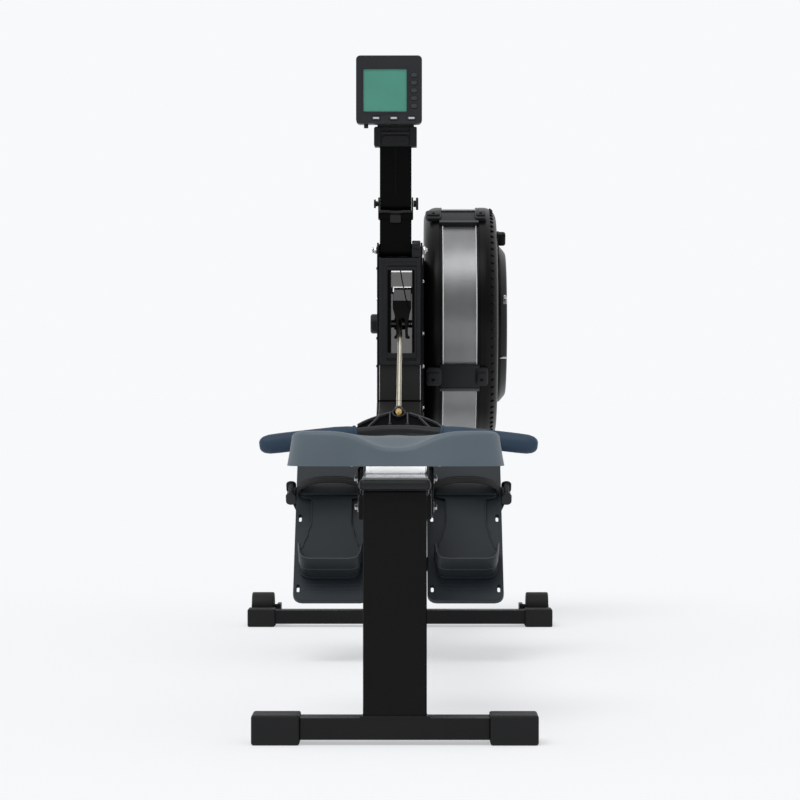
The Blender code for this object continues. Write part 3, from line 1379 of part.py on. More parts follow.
# Shroud round the chain's way in
def shroud():
    half = PLATE_INNER - FIT
    face = FRAME_FACE - SHROUD_PROUD
    panel = box_at((-half, half), (face, face + SHROUD_DEPTH), (SHROUD_BOTTOM, SHROUD_TOP))
    collar = box_at(
        (WINDOW_LEFT - COLLAR_WALL, WINDOW_RIGHT + COLLAR_WALL),
        (face + SHROUD_DEPTH / 5.0, face + COLLAR_DEPTH),
        (WINDOW_BOTTOM - COLLAR_WALL, WINDOW_TOP + COLLAR_WALL),
    )
    before, behind = face - SHROUD_DEPTH, face + COLLAR_DEPTH + SHROUD_DEPTH
    window = box_at((WINDOW_LEFT, WINDOW_RIGHT), (before, behind), (WINDOW_BOTTOM, WINDOW_TOP))
    step = box_at(
        (WINDOW_LEFT - WINDOW_STEP, WINDOW_RIGHT + WINDOW_STEP),
        (before, face + WINDOW_STEP_DEPTH),
        (WINDOW_BOTTOM - WINDOW_STEP, WINDOW_TOP + WINDOW_STEP),
    )
    piece("chain_shroud", cut(fused([panel, collar]), [window, step]), "dark_plastic")


# Monitor and its arm
def arm():
    left, right = ARM_CENTRE - ARM_HALF_WIDTH, ARM_CENTRE + ARM_HALF_WIDTH
    half = ARM_HALF_DEPTH
    station = ARM_STATION
    pivot = (0.0, y_at(station), ARM_PIVOT)
    fold = (0.0, y_at(station), ARM_FOLD)
    low_end = circle((station, ARM_PIVOT), half, 9, math.pi, math.pi)
    outline = low_end + [(station + half, ARM_FOLD - half - 0.004), (station - half, ARM_FOLD - half - 0.004)]
    tube = side_prism(outline, left, right)
    inner = PLATE_INNER - FIT
    spacers = disc(station, ARM_PIVOT, half - 0.001, (-inner, inner), 20)
    ear_end = circle((station, ARM_FOLD), half, 9, 0.0, math.pi)
    ear_outline = [(station + half, ARM_FOLD - half - 0.014)] + ear_end + [(station - half, ARM_FOLD - half - 0.014)]
    ears = [
        side_prism(ear_outline, left - FIT - 0.003, left - FIT),
        side_prism(ear_outline, right + FIT, right + FIT + 0.003),
    ]
    collar = box_at(
        (left - FIT - 0.003, right + FIT + 0.003),
        (station - half - 0.002, station + half + 0.002),
        (ARM_FOLD - half - 0.018, ARM_FOLD - half - 0.006),
    )
    bores = [
        disc(station, ARM_PIVOT, SCREW_RADIUS + FIT, (-0.06, 0.06), 16),
        disc(station, ARM_FOLD, SCREW_RADIUS + FIT, (-0.06, 0.06), 16),
    ]
    piece("arm_lower", cut(fused([tube, collar, spacers] + ears), bores), "black_steel", pivot)
    upper_outline = circle((station, ARM_FOLD), half, 9, math.pi, math.pi)
    upper_outline += [(station + half, ARM_TOP), (station - half, ARM_TOP)]
    upper = side_prism(upper_outline, left, right)
    pin_height = (YOKE_BOTTOM + ARM_TOP) / 2.0
    pin_hole = disc(station, pin_height, SCREW_RADIUS + FIT, (-0.06, 0.06), 16)
    piece("arm_upper", cut(upper, [bores[1], pin_hole]), "black_steel", fold)
    clamp_screw("base_clamp_screw", ARM_PIVOT, -PLATE_OUTER, PLATE_OUTER)
    clamp_screw("arm_clamp_screw", ARM_FOLD, left - FIT - 0.003, right + FIT + 0.003)
    yoke(pin_height)


def clamp_screw(name, height, left, right):
    # A through screw with a small head on the left and a round knob on the right.
    head = disc(ARM_STATION, height, 0.0085, (left - FIT - 0.006, left - FIT), 20)
    shank = disc(ARM_STATION, height, SCREW_RADIUS, (left - 0.002, right + 0.004), 16)
    knob = disc(ARM_STATION, height, 0.0115, (right + FIT, right + FIT + 0.007), 20)
    screw = fused([shank, head, knob])
    piece(name, screw, "bright_steel", (0.0, y_at(ARM_STATION), height))


def yoke(pin_height):
    left, right = ARM_CENTRE - YOKE_HALF_WIDTH, ARM_CENTRE + YOKE_HALF_WIDTH
    station = ARM_STATION
    depth = ARM_HALF_DEPTH + 0.002
    body = box_at((left, right), (station - depth, station + depth), (YOKE_BOTTOM, YOKE_TOP))
    pocket = box_at(
        (ARM_CENTRE - ARM_HALF_WIDTH - FIT, ARM_CENTRE + ARM_HALF_WIDTH + FIT),
        (station - ARM_HALF_DEPTH - FIT, station + ARM_HALF_DEPTH + FIT),
        (YOKE_BOTTOM - 0.01, ARM_TOP + FIT),
    )
    ears = []
    for side in (-1.0, 1.0):
        start = MONITOR_CENTRE + side * (0.014 + FIT)
        low, high = sorted((start, start + side * 0.006))
        ear_end = circle((station, TILT_HEIGHT), EAR_RADIUS, 7, 0.0, math.pi)
        ear_foot = YOKE_TOP - 0.002
        outline = [(station + EAR_RADIUS, ear_foot)] + ear_end + [(station - EAR_RADIUS, ear_foot)]
        ears.append(side_prism(outline, low, high))
    axle = disc(station, TILT_HEIGHT, 0.003, (MONITOR_CENTRE - 0.018, MONITOR_CENTRE + 0.018), 12)
    pin = disc(station, pin_height, SCREW_RADIUS, (left + 0.001, right - 0.001), 16)
    shape = fused([cut(body, [pocket]), axle, pin] + ears)
    piece("monitor_yoke", shape, "dark_plastic")


def monitor():
    left = MONITOR_CENTRE - MONITOR_WIDTH / 2.0
    right = MONITOR_CENTRE + MONITOR_WIDTH / 2.0
    top = MONITOR_BOTTOM + MONITOR_HEIGHT
    outline = rounded_rectangle((left, MONITOR_BOTTOM), (right, top), 0.008)
    back = MONITOR_FACE + MONITOR_DEPTH
    case = prism(outline, y_at(MONITOR_FACE), y_at(back), "Y")
    lug_end = circle((ARM_STATION, TILT_HEIGHT), EAR_RADIUS, 7, math.radians(-90.0), math.pi)
    lug_low, lug_high = TILT_HEIGHT - EAR_RADIUS, TILT_HEIGHT + EAR_RADIUS
    lug_outline = [(back - 0.001, lug_low)] + lug_end + [(back - 0.001, lug_high)]
    lug = side_prism(lug_outline, MONITOR_CENTRE - 0.014, MONITOR_CENTRE + 0.014)
    screen = (
        (SCREEN_CENTRE - SCREEN_WIDTH / 2.0, SCREEN_CENTRE + SCREEN_WIDTH / 2.0),
        (SCREEN_MIDDLE - SCREEN_HEIGHT / 2.0, SCREEN_MIDDLE + SCREEN_HEIGHT / 2.0),
    )
    screen_depth = 0.0045
    recess = box_at(screen[0], (MONITOR_FACE - 0.01, MONITOR_FACE + screen_depth), screen[1])
    bore = disc(ARM_STATION, TILT_HEIGHT, 0.003 + FIT, (MONITOR_CENTRE - 0.03, MONITOR_CENTRE + 0.03), 12)
    cuts = [recess, bore]
    for name, centre, size in key_places():
        cuts.append(key_shape(centre, size, FIT, -0.01, 0.0055))
    pivot = (0.0, y_at(ARM_STATION), TILT_HEIGHT)
    piece("monitor_case", cut(fused([case, lug]), cuts), "dark_plastic", pivot)
    glass = box_at(
        (screen[0][0] + FIT, screen[0][1] - FIT),
        (MONITOR_FACE + 0.0015, MONITOR_FACE + screen_depth - FIT),
        (screen[1][0] + FIT, screen[1][1] - FIT),
    )
    piece("monitor_screen", glass, "screen_glass", pivot)
    for name, centre, size in key_places():
        piece(name, key_shape(centre, size, 0.0, -0.0015, 0.0040), "key_rubber")


def key_places():
    # Five keys down the right side and three along the bottom.
    places = []
    for i in range(5):
        across = MONITOR_CENTRE + MONITOR_WIDTH / 2.0 - SIDE_KEY_INSET
        centre = (across, SCREEN_MIDDLE + SIDE_KEY_RISE - SIDE_KEY_STEP * i)
        places.append(("key_side_%d" % (i + 1), centre, SIDE_KEY))
    for i in range(3):
        across = MONITOR_CENTRE - BOTTOM_KEY_START + BOTTOM_KEY_STEP * i
        centre = (across, MONITOR_BOTTOM + BOTTOM_KEY_LIFT)
        places.append(("key_bottom_%d" % (i + 1), centre, BOTTOM_KEY))
    return places


def key_shape(centre, size, grow, front, back):
    half_x = size[0] / 2.0 + grow
    half_z = size[1] / 2.0 + grow
    low = (centre[0] - half_x, centre[1] - half_z)
    high = (centre[0] + half_x, centre[1] + half_z)
    outline = rounded_rectangle(low, high, half_z * 0.98, 5)
    return prism(outline, y_at(MONITOR_FACE + front), y_at(MONITOR_FACE + back), "Y")


def main():
    for item in list(bpy.data.objects):
        bpy.data.objects.remove(item)
    rail()
    rear_leg()
    seat_shell()
    seat_carriage()
    main_frame()
    front_leg()
    casters()
    frame_lock()
    footboards()
    foot_plates()
    straps()
    cage()
    flywheel()
    damper()
    chain_and_cord()
    handle()
    handle_hook()
    shroud()
    arm()
    monitor()


main()
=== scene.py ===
# Air rowing machine: the looks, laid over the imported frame. Metres, +Z up, +Y from the seat to the fan.
import json
import bmesh
import bpy
import numpy as np
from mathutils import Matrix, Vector


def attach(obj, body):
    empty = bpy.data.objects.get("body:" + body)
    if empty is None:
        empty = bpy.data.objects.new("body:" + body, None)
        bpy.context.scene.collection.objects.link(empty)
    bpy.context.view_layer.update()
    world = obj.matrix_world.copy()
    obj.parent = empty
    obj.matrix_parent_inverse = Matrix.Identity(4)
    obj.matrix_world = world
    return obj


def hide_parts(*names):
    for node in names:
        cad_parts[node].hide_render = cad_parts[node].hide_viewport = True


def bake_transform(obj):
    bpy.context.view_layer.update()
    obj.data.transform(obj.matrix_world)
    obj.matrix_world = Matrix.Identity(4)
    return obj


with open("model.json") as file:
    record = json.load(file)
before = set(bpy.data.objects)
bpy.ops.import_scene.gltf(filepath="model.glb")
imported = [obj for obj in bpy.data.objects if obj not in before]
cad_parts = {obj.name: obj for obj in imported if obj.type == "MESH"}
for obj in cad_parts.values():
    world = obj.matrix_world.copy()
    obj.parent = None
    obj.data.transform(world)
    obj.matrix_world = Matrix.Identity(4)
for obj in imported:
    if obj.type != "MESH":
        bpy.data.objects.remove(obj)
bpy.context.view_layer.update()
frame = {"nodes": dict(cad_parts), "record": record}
nodes = frame["nodes"]
slotOf = {entry["node"]: entry["material_slot"] for entry in frame["record"]["subparts"]}
print("frame loaded:", len(nodes), "nodes")

# What a user would change about the picture: where the camera stands, and how light the room is.
# A sun is its name, its strength, and its tilt, turn and spread in degrees; a beam its name, power, aim, pieces.
studio = {
    "cameraPlace": (0.0197, -5.127, 0.460),
    "cameraLens": 133.9,
    "turnLeft": np.radians(0.189),
    "lookDown": np.radians(0.058),
    "paper": (0.935, 0.948, 0.965),
    "roomLight": 0.61,
    "suns": (("keySun", 1.32, 32.0, -28.0, 34.0), ("sideSun", 0.15, 48.0, 55.0, 50.0)),
    "frontGrey": 0.22,
    "frontEnds": (-0.45, 0.10),
    "paperGlow": 0.48,
    "floorReach": 900.0,
    "beamSpread": np.radians(4.0),
    "beams": (("windowBeam", 1100.0, (0.0035, 0.684, 0.630), ("insideWall", "paleTrimAndGapLight", "chainGuide",
        "speedCable")), ("railBeam", 620.0, (0.0, -0.98, 0.358), ("rearRoller",))),
}


def setUpStudio():
    scene = bpy.context.scene
    scene.view_settings.view_transform = "Standard"
    camera = bpy.data.objects.new("camera", bpy.data.cameras.new("camera"))
    camera.data.lens = studio["cameraLens"]
    camera.data.sensor_width = 36.0
    camera.data.clip_end = 2000.0
    camera.location = studio["cameraPlace"]
    camera.rotation_euler = (np.pi / 2.0 - studio["lookDown"], 0.0, studio["turnLeft"])
    scene.collection.objects.link(camera)
    scene.camera = camera
    world = bpy.data.worlds.new("studioWorld")
    scene.world = world
    world.use_nodes = True
    tree = world.node_tree
    tree.nodes.clear()
    white = (1.0, 1.0, 1.0, 1.0)
    light = addNode(tree, "Background", {"Color": white, "Strength": studio["roomLight"]}).outputs[0]
    paper = addNode(tree, "Background", {"Color": (*studio["paper"], 1.0)}).outputs[0]
    # Mirrors see white paper beyond the object and a dim room behind the camera.
    dim = addNode(tree, "Background", {"Color": white, "Strength": studio["frontGrey"]}).outputs[0]
    where = addNode(tree, "TexCoord").outputs["Generated"]
    split = addNode(tree, "SeparateXYZ", {0: where})
    low, high = studio["frontEnds"]
    turn = addNode(tree, "MapRange", {"Value": split.outputs["Y"], "From Min": low, "From Max": high},
        interpolation_type="SMOOTHSTEP")
    rays = addNode(tree, "LightPath").outputs
    seen = addNode(tree, "Math", {0: rays["Is Camera Ray"], 1: rays["Is Transmission Ray"]},
        operation="MAXIMUM")
    mirror = addNode(tree, "MixShader", {"Fac": turn.outputs["Result"], 1: dim, 2: paper})
    glossy = addNode(tree, "MixShader", {"Fac": rays["Is Glossy Ray"], 1: light, 2: mirror.outputs[0]})
    both = addNode(tree, "MixShader", {"Fac": seen.outputs[0], 1: glossy.outputs[0], 2: paper})
    addNode(tree, "OutputWorld", {"Surface": both.outputs[0]})
    for name, strength, tilt, spin, spread in studio["suns"]:
        sun = bpy.data.objects.new(name, bpy.data.lights.new(name, "SUN"))
        sun.data.energy = strength
        sun.data.angle = np.radians(spread)
        sun.rotation_euler = (np.radians(tilt), 0.0, np.radians(spin))
        scene.collection.objects.link(sun)
    floorMesh = bpy.data.meshes.new("floor")
    reach = studio["floorReach"]
    floorMesh.from_pydata([(-reach, -reach, 0), (reach, -reach, 0), (reach, reach, 0), (-reach, reach, 0)],
        [], [(0, 1, 2, 3)])
    floor = bpy.data.objects.new("floor", floorMesh)
    scene.collection.objects.link(floor)
    floorMesh.materials.append(floorPaper())


def floorPaper():
    # Part of the paper's light is its own, which thins the shadows on it.
    paper = bpy.data.materials.new("floorPaper")
    paper.use_nodes = True
    shader = paper.node_tree.nodes["Principled BSDF"]
    own = studio["paperGlow"]
    shader.inputs["Base Color"].default_value = (*[level * (1.0 - own) for level in studio["paper"]], 1.0)
    shader.inputs["Emission Color"].default_value = (*studio["paper"], 1.0)
    shader.inputs["Emission Strength"].default_value = own
    shader.inputs["Roughness"].default_value = 0.6
    shader.inputs["Specular IOR Level"].default_value = 0.0
    return paper


# Shader groups that several finishes share
def addNode(tree, kind, wires=None, **settings):
    node = tree.nodes.new("ShaderNode" + kind)
    for label, value in settings.items():
        setattr(node, label, value)
    for label, value in (wires or {}).items():
        if isinstance(value, bpy.types.NodeSocket):
            tree.links.new(value, node.inputs[label])
        else:
            node.inputs[label].default_value = value
    return node


def newGroup(name, inputs, outputs):
    tree = bpy.data.node_groups.new(name, "ShaderNodeTree")
    for label, kind, value in inputs:
        socket = tree.interface.new_socket(label, in_out="INPUT", socket_type="NodeSocket" + kind)
        if value is not None:
            socket.default_value = value
    for label, kind in outputs:
        tree.interface.new_socket(label, in_out="OUTPUT", socket_type="NodeSocket" + kind)
    return tree, tree.nodes.new("NodeGroupInput").outputs, tree.nodes.new("NodeGroupOutput").inputs


def perMetre(tree, size):
    return addNode(tree, "Math", {0: 1.0, 1: size}, operation="DIVIDE").outputs[0]


def makeGroups():
    # Grain: fine noise for the bump, and broad patches for slow changes of colour and gloss.
    tree, given, out = newGroup("grain", [("Vector", "Vector", None), ("Size", "Float", 0.001)],
        [("Height", "Float"), ("Patches", "Float")])
    fine = addNode(tree, "TexNoise", {"Vector": given["Vector"], "Scale": perMetre(tree, given["Size"]),
        "Detail": 2.0, "Roughness": 0.6})
    broad = addNode(tree, "TexNoise", {"Vector": given["Vector"], "Scale": 9.0, "Detail": 3.0})
    tree.links.new(fine.outputs[0], out["Height"])
    tree.links.new(broad.outputs[0], out["Patches"])
    # Wear: scattered rubbed spots; Amount is the share of the surface that shows them.
    tree, given, out = newGroup("wear", [("Vector", "Vector", None), ("Size", "Float", 0.02),
        ("Amount", "Float", 0.1)], [("Mask", "Float")])
    noise = addNode(tree, "TexNoise", {"Vector": given["Vector"], "Scale": perMetre(tree, given["Size"]),
        "Detail": 8.0, "Roughness": 0.72})
    level = addNode(tree, "Math", {0: 0.72, 1: given["Amount"]}, operation="SUBTRACT")
    above = addNode(tree, "Math", {0: noise.outputs[0], 1: level.outputs[0]}, operation="SUBTRACT")
    gain = addNode(tree, "Math", {0: above.outputs[0], 1: 9.0}, operation="MULTIPLY", use_clamp=True)
    tree.links.new(gain.outputs[0], out["Mask"])
    # Dust: settles on faces that look up.
    tree, given, out = newGroup("dust", [("Vector", "Vector", None), ("Amount", "Float", 0.1)],
        [("Mask", "Float")])
    split = addNode(tree, "SeparateXYZ", {0: addNode(tree, "NewGeometry").outputs["Normal"]})
    noise = addNode(tree, "TexNoise", {"Vector": given["Vector"], "Scale": 45.0, "Detail": 6.0,
        "Roughness": 0.7})
    up = addNode(tree, "Math", {0: split.outputs["Z"], 1: noise.outputs[0]}, operation="MULTIPLY",
        use_clamp=True)
    dusty = addNode(tree, "Math", {0: up.outputs[0], 1: given["Amount"]}, operation="MULTIPLY",
        use_clamp=True)
    tree.links.new(dusty.outputs[0], out["Mask"])
    # Brushing: long fine lines; Stretch is how many lines a metre holds along each axis.
    tree, given, out = newGroup("brushing", [("Vector", "Vector", None),
        ("Stretch", "Vector", (900, 12, 900))], [("Lines", "Float")])
    long = addNode(tree, "VectorMath", {0: given["Vector"], 1: given["Stretch"]}, operation="MULTIPLY")
    noise = addNode(tree, "TexNoise", {"Vector": long.outputs[0], "Scale": 1.0, "Detail": 3.0,
        "Roughness": 0.65})
    tree.links.new(noise.outputs[0], out["Lines"])
    # Dots: an even grid of round marks on a flat map whose unit is the pitch.
    tree, given, out = newGroup("dots", [("Vector", "Vector", None), ("Radius", "Float", 0.3)],
        [("Mask", "Float")])
    cells = addNode(tree, "TexVoronoi", {"Vector": given["Vector"], "Scale": 1.0, "Randomness": 0.0},
        voronoi_dimensions="2D")
    inside = addNode(tree, "Math", {0: given["Radius"], 1: cells.outputs["Distance"]}, operation="SUBTRACT")
    sharp = addNode(tree, "Math", {0: inside.outputs[0], 1: 14.0}, operation="MULTIPLY", use_clamp=True)
    tree.links.new(sharp.outputs[0], out["Mask"])
    # Weave: threads over and under on a flat map whose unit is one thread.
    tree, given, out = newGroup("weave", [("Vector", "Vector", None)], [("Height", "Float")])
    split = addNode(tree, "SeparateXYZ", {0: given["Vector"]})
    waves = []
    for label in ("X", "Y"):
        turn = addNode(tree, "Math", {0: split.outputs[label], 1: float(np.pi)}, operation="MULTIPLY")
        waves.append(addNode(tree, "Math", {0: turn.outputs[0]}, operation="SINE").outputs[0])
    cross = addNode(tree, "Math", {0: waves[0], 1: waves[1]}, operation="MULTIPLY")
    lifted = addNode(tree, "Math", {0: cross.outputs[0], 1: 0.5, 2: 0.5}, operation="MULTIPLY_ADD")
    tree.links.new(lifted.outputs[0], out["Height"])


def useGroup(tree, name, wires):
    return addNode(tree, "Group", wires, node_tree=bpy.data.node_groups[name]).outputs


# One row a finish: colour, worn colour, roughness, size and depth of the grain in metres, then wear and dust
# as shares; gloss, metal and patterns follow by name.
def coat(colour, worn, rough, grain, depth, wear, dust, **more):
    return dict(colour=colour, worn=worn, rough=rough, grain=grain, depth=depth, wear=wear, dust=dust,
        **more)


finishes = {
    "powderCoat": coat((0.0040, 0.0040, 0.0042), (0.0075, 0.0075, 0.0080), 0.46, 0.0011, 0.00022, 0.03,
        0.02, specular=0.14),
    "panelCoat": coat((0.016, 0.016, 0.0165), (0.022, 0.022, 0.023), 0.50, 0.0011, 0.00015, 0.03, 0.02,
        specular=0.20),
    "armCoat": coat((0.0020, 0.0020, 0.0021), (0.0045, 0.0045, 0.0050), 0.52, 0.0011, 0.00015, 0.03, 0.01,
        specular=0.06),
    "barCoat": coat((0.0080, 0.0080, 0.0084), (0.0130, 0.0130, 0.0135), 0.50, 0.0011, 0.00022, 0.03, 0.02,
        specular=0.20),
    "insideGrey": coat((0.15, 0.15, 0.15), (0.20, 0.20, 0.20), 0.60, 0.0010, 0.00010, 0.05, 0.02,
        specular=0.10),
    "railMetal": coat((0.30, 0.31, 0.32), (0.38, 0.39, 0.40), 0.34, 0.0006, 0.00001, 0.05, 0.05, metal=1.0,
        lines=(700, 8, 700)),
    "trackMetal": coat((0.86, 0.87, 0.88), (0.72, 0.73, 0.74), 0.20, 0.0050, 0.000002, 0.03, 0.0,
        metal=1.0, lines=(300, 3, 300)),
    "zincPlate": coat((0.55, 0.56, 0.57), (0.38, 0.38, 0.38), 0.28, 0.0004, 0.00001, 0.10, 0.02, metal=1.0),
    "seatMoulding": coat((0.092, 0.120, 0.143), (0.130, 0.160, 0.180), 0.52, 0.0008, 0.00010, 0.05, 0.05,
        specular=0.40),
    "darkMoulding": coat((0.0105, 0.0115, 0.0125), (0.020, 0.021, 0.023), 0.44, 0.0007, 0.00009, 0.04,
        0.03, specular=0.26),
    "cageMoulding": coat((0.0024, 0.0024, 0.0027), (0.0050, 0.0050, 0.0055), 0.34, 0.0012, 0.00005, 0.03,
        0.02, specular=0.14),
    "boardMoulding": coat((0.0165, 0.0225, 0.0285), (0.028, 0.036, 0.044), 0.50, 0.0007, 0.00010, 0.05,
        0.05, specular=0.28),
    "plateMoulding": coat((0.0175, 0.0225, 0.0265), (0.034, 0.041, 0.047), 0.52, 0.0009, 0.00014, 0.07,
        0.05, specular=0.24),
    "footRubber": coat((0.0100, 0.0105, 0.0110), (0.020, 0.020, 0.021), 0.58, 0.0010, 0.00016, 0.06, 0.06,
        specular=0.22),
    "gripRubber": coat((0.022, 0.045, 0.080), (0.035, 0.060, 0.095), 0.58, 0.0006, 0.00008, 0.06, 0.03,
        specular=0.30),
    "monitorMoulding": coat((0.020, 0.022, 0.025), (0.030, 0.032, 0.035), 0.42, 0.0005, 0.00006, 0.02,
        0.03, specular=0.30),
    "chainSteel": coat((0.30, 0.285, 0.235), (0.12, 0.11, 0.09), 0.34, 0.0005, 0.00002, 0.14, 0.02,
        metal=1.0),
    "turnedBrass": coat((0.85, 0.60, 0.24), (0.62, 0.42, 0.16), 0.28, 0.0004, 0.00001, 0.08, 0.02,
        metal=0.75),
    "keyRubber": coat((0.038, 0.042, 0.047), (0.055, 0.060, 0.066), 0.55, 0.0004, 0.00003, 0.04, 0.02,
        specular=0.30),
    "fanMetal": coat((0.10, 0.10, 0.105), (0.20, 0.20, 0.21), 0.42, 0.0008, 0.00005, 0.06, 0.08, metal=0.8),
    "rollerNylon": coat((0.86, 0.87, 0.88), (0.62, 0.62, 0.63), 0.40, 0.0030, 0.00001, 0.03, 0.0,
        specular=0.40),
    "cordCover": coat((0.018, 0.018, 0.020), (0.05, 0.05, 0.05), 0.80, 0.0009, 0.00025, 0.05, 0.05,
        specular=0.20),
    "webbing": coat((0.018, 0.018, 0.019), (0.038, 0.038, 0.040), 0.74, 0.0006, 0.00008, 0.06, 0.03,
        specular=0.24, weave=(0.0011, 0.0009)),
    "bandSheet": coat((0.34, 0.345, 0.35), (0.24, 0.24, 0.245), 0.36, 0.0006, 0.00001, 0.05, 0.02,
        metal=0.9, dots=0.31),
    "greenDisplay": coat((0.078, 0.285, 0.215), (0.070, 0.255, 0.195), 0.24, 0.0005, 0.000004, 0.02, 0.01,
        specular=0.45),
    # Near black: painted deep shade on the handle fan's web and in the window's side reveals; the chain guide
    # and the speed cable use it too.
    "deepBlackAndShade": coat((0.0012, 0.0012, 0.0013), (0.003, 0.003, 0.003), 0.60, 0.0007, 0.00009, 0.03, 0.01,
        specular=0.05),
    # Grey: painted highlight on the handle fan's rim and ribs.
    "highlitRibMoulding": coat((0.046, 0.049, 0.052), (0.062, 0.065, 0.070), 0.44, 0.0007, 0.00009, 0.04, 0.03,
        specular=0.34),
    # Lighter: painted highlights on the heel cup's rim and step, and on one ridge of each band clamp.
    "edgeHighlightMoulding": coat((0.060, 0.065, 0.070), (0.090, 0.095, 0.100), 0.45, 0.0007, 0.00004, 0.04, 0.02,
        specular=0.35),
    # Near white: painted light where gaps inside the shroud's window let the backdrop show; also the band's edge
    # beads and the damper's seam.
    "paleTrimAndGapLight": coat((0.85, 0.86, 0.88), (0.70, 0.71, 0.73), 0.45, 0.0004, 0.00001, 0.03, 0.01,
        specular=0.40),
    "paleMark": coat((0.55, 0.57, 0.60), (0.45, 0.47, 0.50), 0.50, 0.0004, 0.00001, 0.04, 0.01,
        specular=0.30),
}
finishOfSlot = {
    "black_steel": "powderCoat",
    "track_steel": "trackMetal",
    "rail_aluminium": "railMetal",
    "bright_steel": "zincPlate",
    "seat_plastic": "seatMoulding",
    "dark_plastic": "darkMoulding",
    "cage_plastic": "cageMoulding",
    "board_plastic": "boardMoulding",
    "foot_rubber": "footRubber",
    "strap_web": "webbing",
    "grip_rubber": "gripRubber",
    "chain_steel": "chainSteel",
    "swivel_brass": "turnedBrass",
    "band_steel": "bandSheet",
    "screen_glass": "greenDisplay",
    "key_rubber": "keyRubber",
    "fan_metal": "fanMetal",
    "cord_rubber": "cordCover",
}
readyFinishes = {}


def finish(name):
    if name in readyFinishes:
        return readyFinishes[name]
    look = finishes[name]
    material = bpy.data.materials.new(name)
    material.use_nodes = True
    material.diffuse_color = (*look["colour"], 1.0)
    tree = material.node_tree
    shader = tree.nodes["Principled BSDF"]
    place = tree.nodes.new("ShaderNodeTexCoord").outputs
    grain = useGroup(tree, "grain", {"Vector": place["Object"], "Size": look["grain"]})
    wear = useGroup(tree, "wear", {"Vector": place["Object"], "Size": look.get("spot", 0.03),
        "Amount": look["wear"]})
    dust = useGroup(tree, "dust", {"Vector": place["Object"], "Amount": look["dust"]})
    shade = addNode(tree, "MapRange", {"Value": grain["Patches"], "To Min": 0.80, "To Max": 1.20})
    plain = addNode(tree, "MixRGB", {"Fac": 1.0, "Color1": (*look["colour"], 1.0)}, blend_type="MULTIPLY")
    tree.links.new(shade.outputs[0], plain.inputs["Color2"])
    height, colour = grain["Height"], plain.outputs[0]
    gloss = addNode(tree, "MapRange", {"Value": grain["Patches"], "To Min": look["rough"] - 0.07,
        "To Max": look["rough"] + 0.07}).outputs[0]
    if "lines" in look:
        lines = useGroup(tree, "brushing", {"Vector": place["Object"], "Stretch": look["lines"]})["Lines"]
        streak = addNode(tree, "MapRange", {"Value": lines, "To Min": 0.72, "To Max": 1.28})
        colour = addNode(tree, "MixRGB", {"Fac": 1.0, "Color1": colour, "Color2": streak.outputs[0]},
            blend_type="MULTIPLY").outputs[0]
        spread = addNode(tree, "MapRange", {"Value": lines, "To Min": look["rough"] - 0.10,
            "To Max": look["rough"] + 0.14})
        gloss = spread.outputs[0]
        height = addNode(tree, "Math", {0: grain["Height"], 1: lines}, operation="ADD").outputs[0]
    if "weave" in look:
        thread = addNode(tree, "VectorMath", {0: place["UV"],
            1: (1 / look["weave"][0], 1 / look["weave"][1], 1)}, operation="MULTIPLY")
        height = useGroup(tree, "weave", {"Vector": thread.outputs[0]})["Height"]
        # The colour follows the weave's height: painted shade between the threads and painted light on their
        # tops.
        lit = addNode(tree, "MapRange", {"Value": height, "To Min": 0.55, "To Max": 1.6})
        colour = addNode(tree, "MixRGB", {"Fac": 1.0, "Color1": colour, "Color2": lit.outputs[0]},
            blend_type="MULTIPLY").outputs[0]
    if "dots" in look:
        hole = useGroup(tree, "dots", {"Vector": place["UV"], "Radius": look["dots"]})["Mask"]
        # The holes are not cut: each is painted near black, painted shade of the cage's dark inside seen through
        # it.
        colour = addNode(tree, "MixRGB", {"Fac": hole, "Color1": colour,
            "Color2": (0.02, 0.02, 0.021, 1.0)}, blend_type="MIX").outputs[0]
        height = addNode(tree, "Math", {0: grain["Height"], 1: hole}, operation="SUBTRACT").outputs[0]
    rubbed = addNode(tree, "MixRGB", {"Fac": wear["Mask"], "Color1": colour,
        "Color2": (*look["worn"], 1.0)})
    dusty = addNode(tree, "MixRGB", {"Fac": dust["Mask"], "Color1": rubbed.outputs[0],
        "Color2": (*[0.06 + 0.4 * tone for tone in look["colour"]], 1.0)})
    dull = addNode(tree, "Math", {0: dust["Mask"], 1: 0.6, 2: gloss}, operation="MULTIPLY_ADD",
        use_clamp=True)
    bump = addNode(tree, "Bump", {"Height": height, "Distance": look["depth"], "Strength": 1.0})
    tree.links.new(dusty.outputs[0], shader.inputs["Base Color"])
    tree.links.new(dull.outputs[0], shader.inputs["Roughness"])
    tree.links.new(bump.outputs[0], shader.inputs["Normal"])
    shader.inputs["Metallic"].default_value = look.get("metal", 0.0)
    shader.inputs["Specular IOR Level"].default_value = look.get("specular", 0.5)
    readyFinishes[name] = material
    return material


# Mesh helpers: every shape is worked out as whole arrays, then put into a mesh in one go
def gridFaces(rows, columns, aroundRows=False, aroundColumns=False):
    # Quads between neighbours of a rows by columns grid; either way may close on itself.
    i = np.arange(rows if aroundRows else rows - 1)[:, None]
    j = np.arange(columns if aroundColumns else columns - 1)[None, :]
    down, across = (i + 1) % rows, (j + 1) % columns
    return np.stack([i * columns + j, i * columns + across, down * columns + across, down * columns + j],
        -1).reshape(-1, 4)


def newPiece(name, points, faces, look, uv=None, smooth=True, sharp=40.0):
    mesh = bpy.data.meshes.new(name)
    mesh.from_pydata(np.asarray(points, float).reshape(-1, 3), [], [tuple(face) for face in faces])
    mesh.materials.append(finish(look))
    if uv is not None:
        flat = np.asarray(uv, float).reshape(-1, 2)
        corners = np.zeros(len(mesh.loops), int)
        mesh.loops.foreach_get("vertex_index", corners)
        mesh.uv_layers.new(name="UVMap").data.foreach_set("uv", flat[corners].ravel())
    mesh.validate()
    obj = bpy.data.objects.new(name, mesh)
    bpy.context.scene.collection.objects.link(obj)
    tidyFaces(obj, smooth, sharp)
    return obj


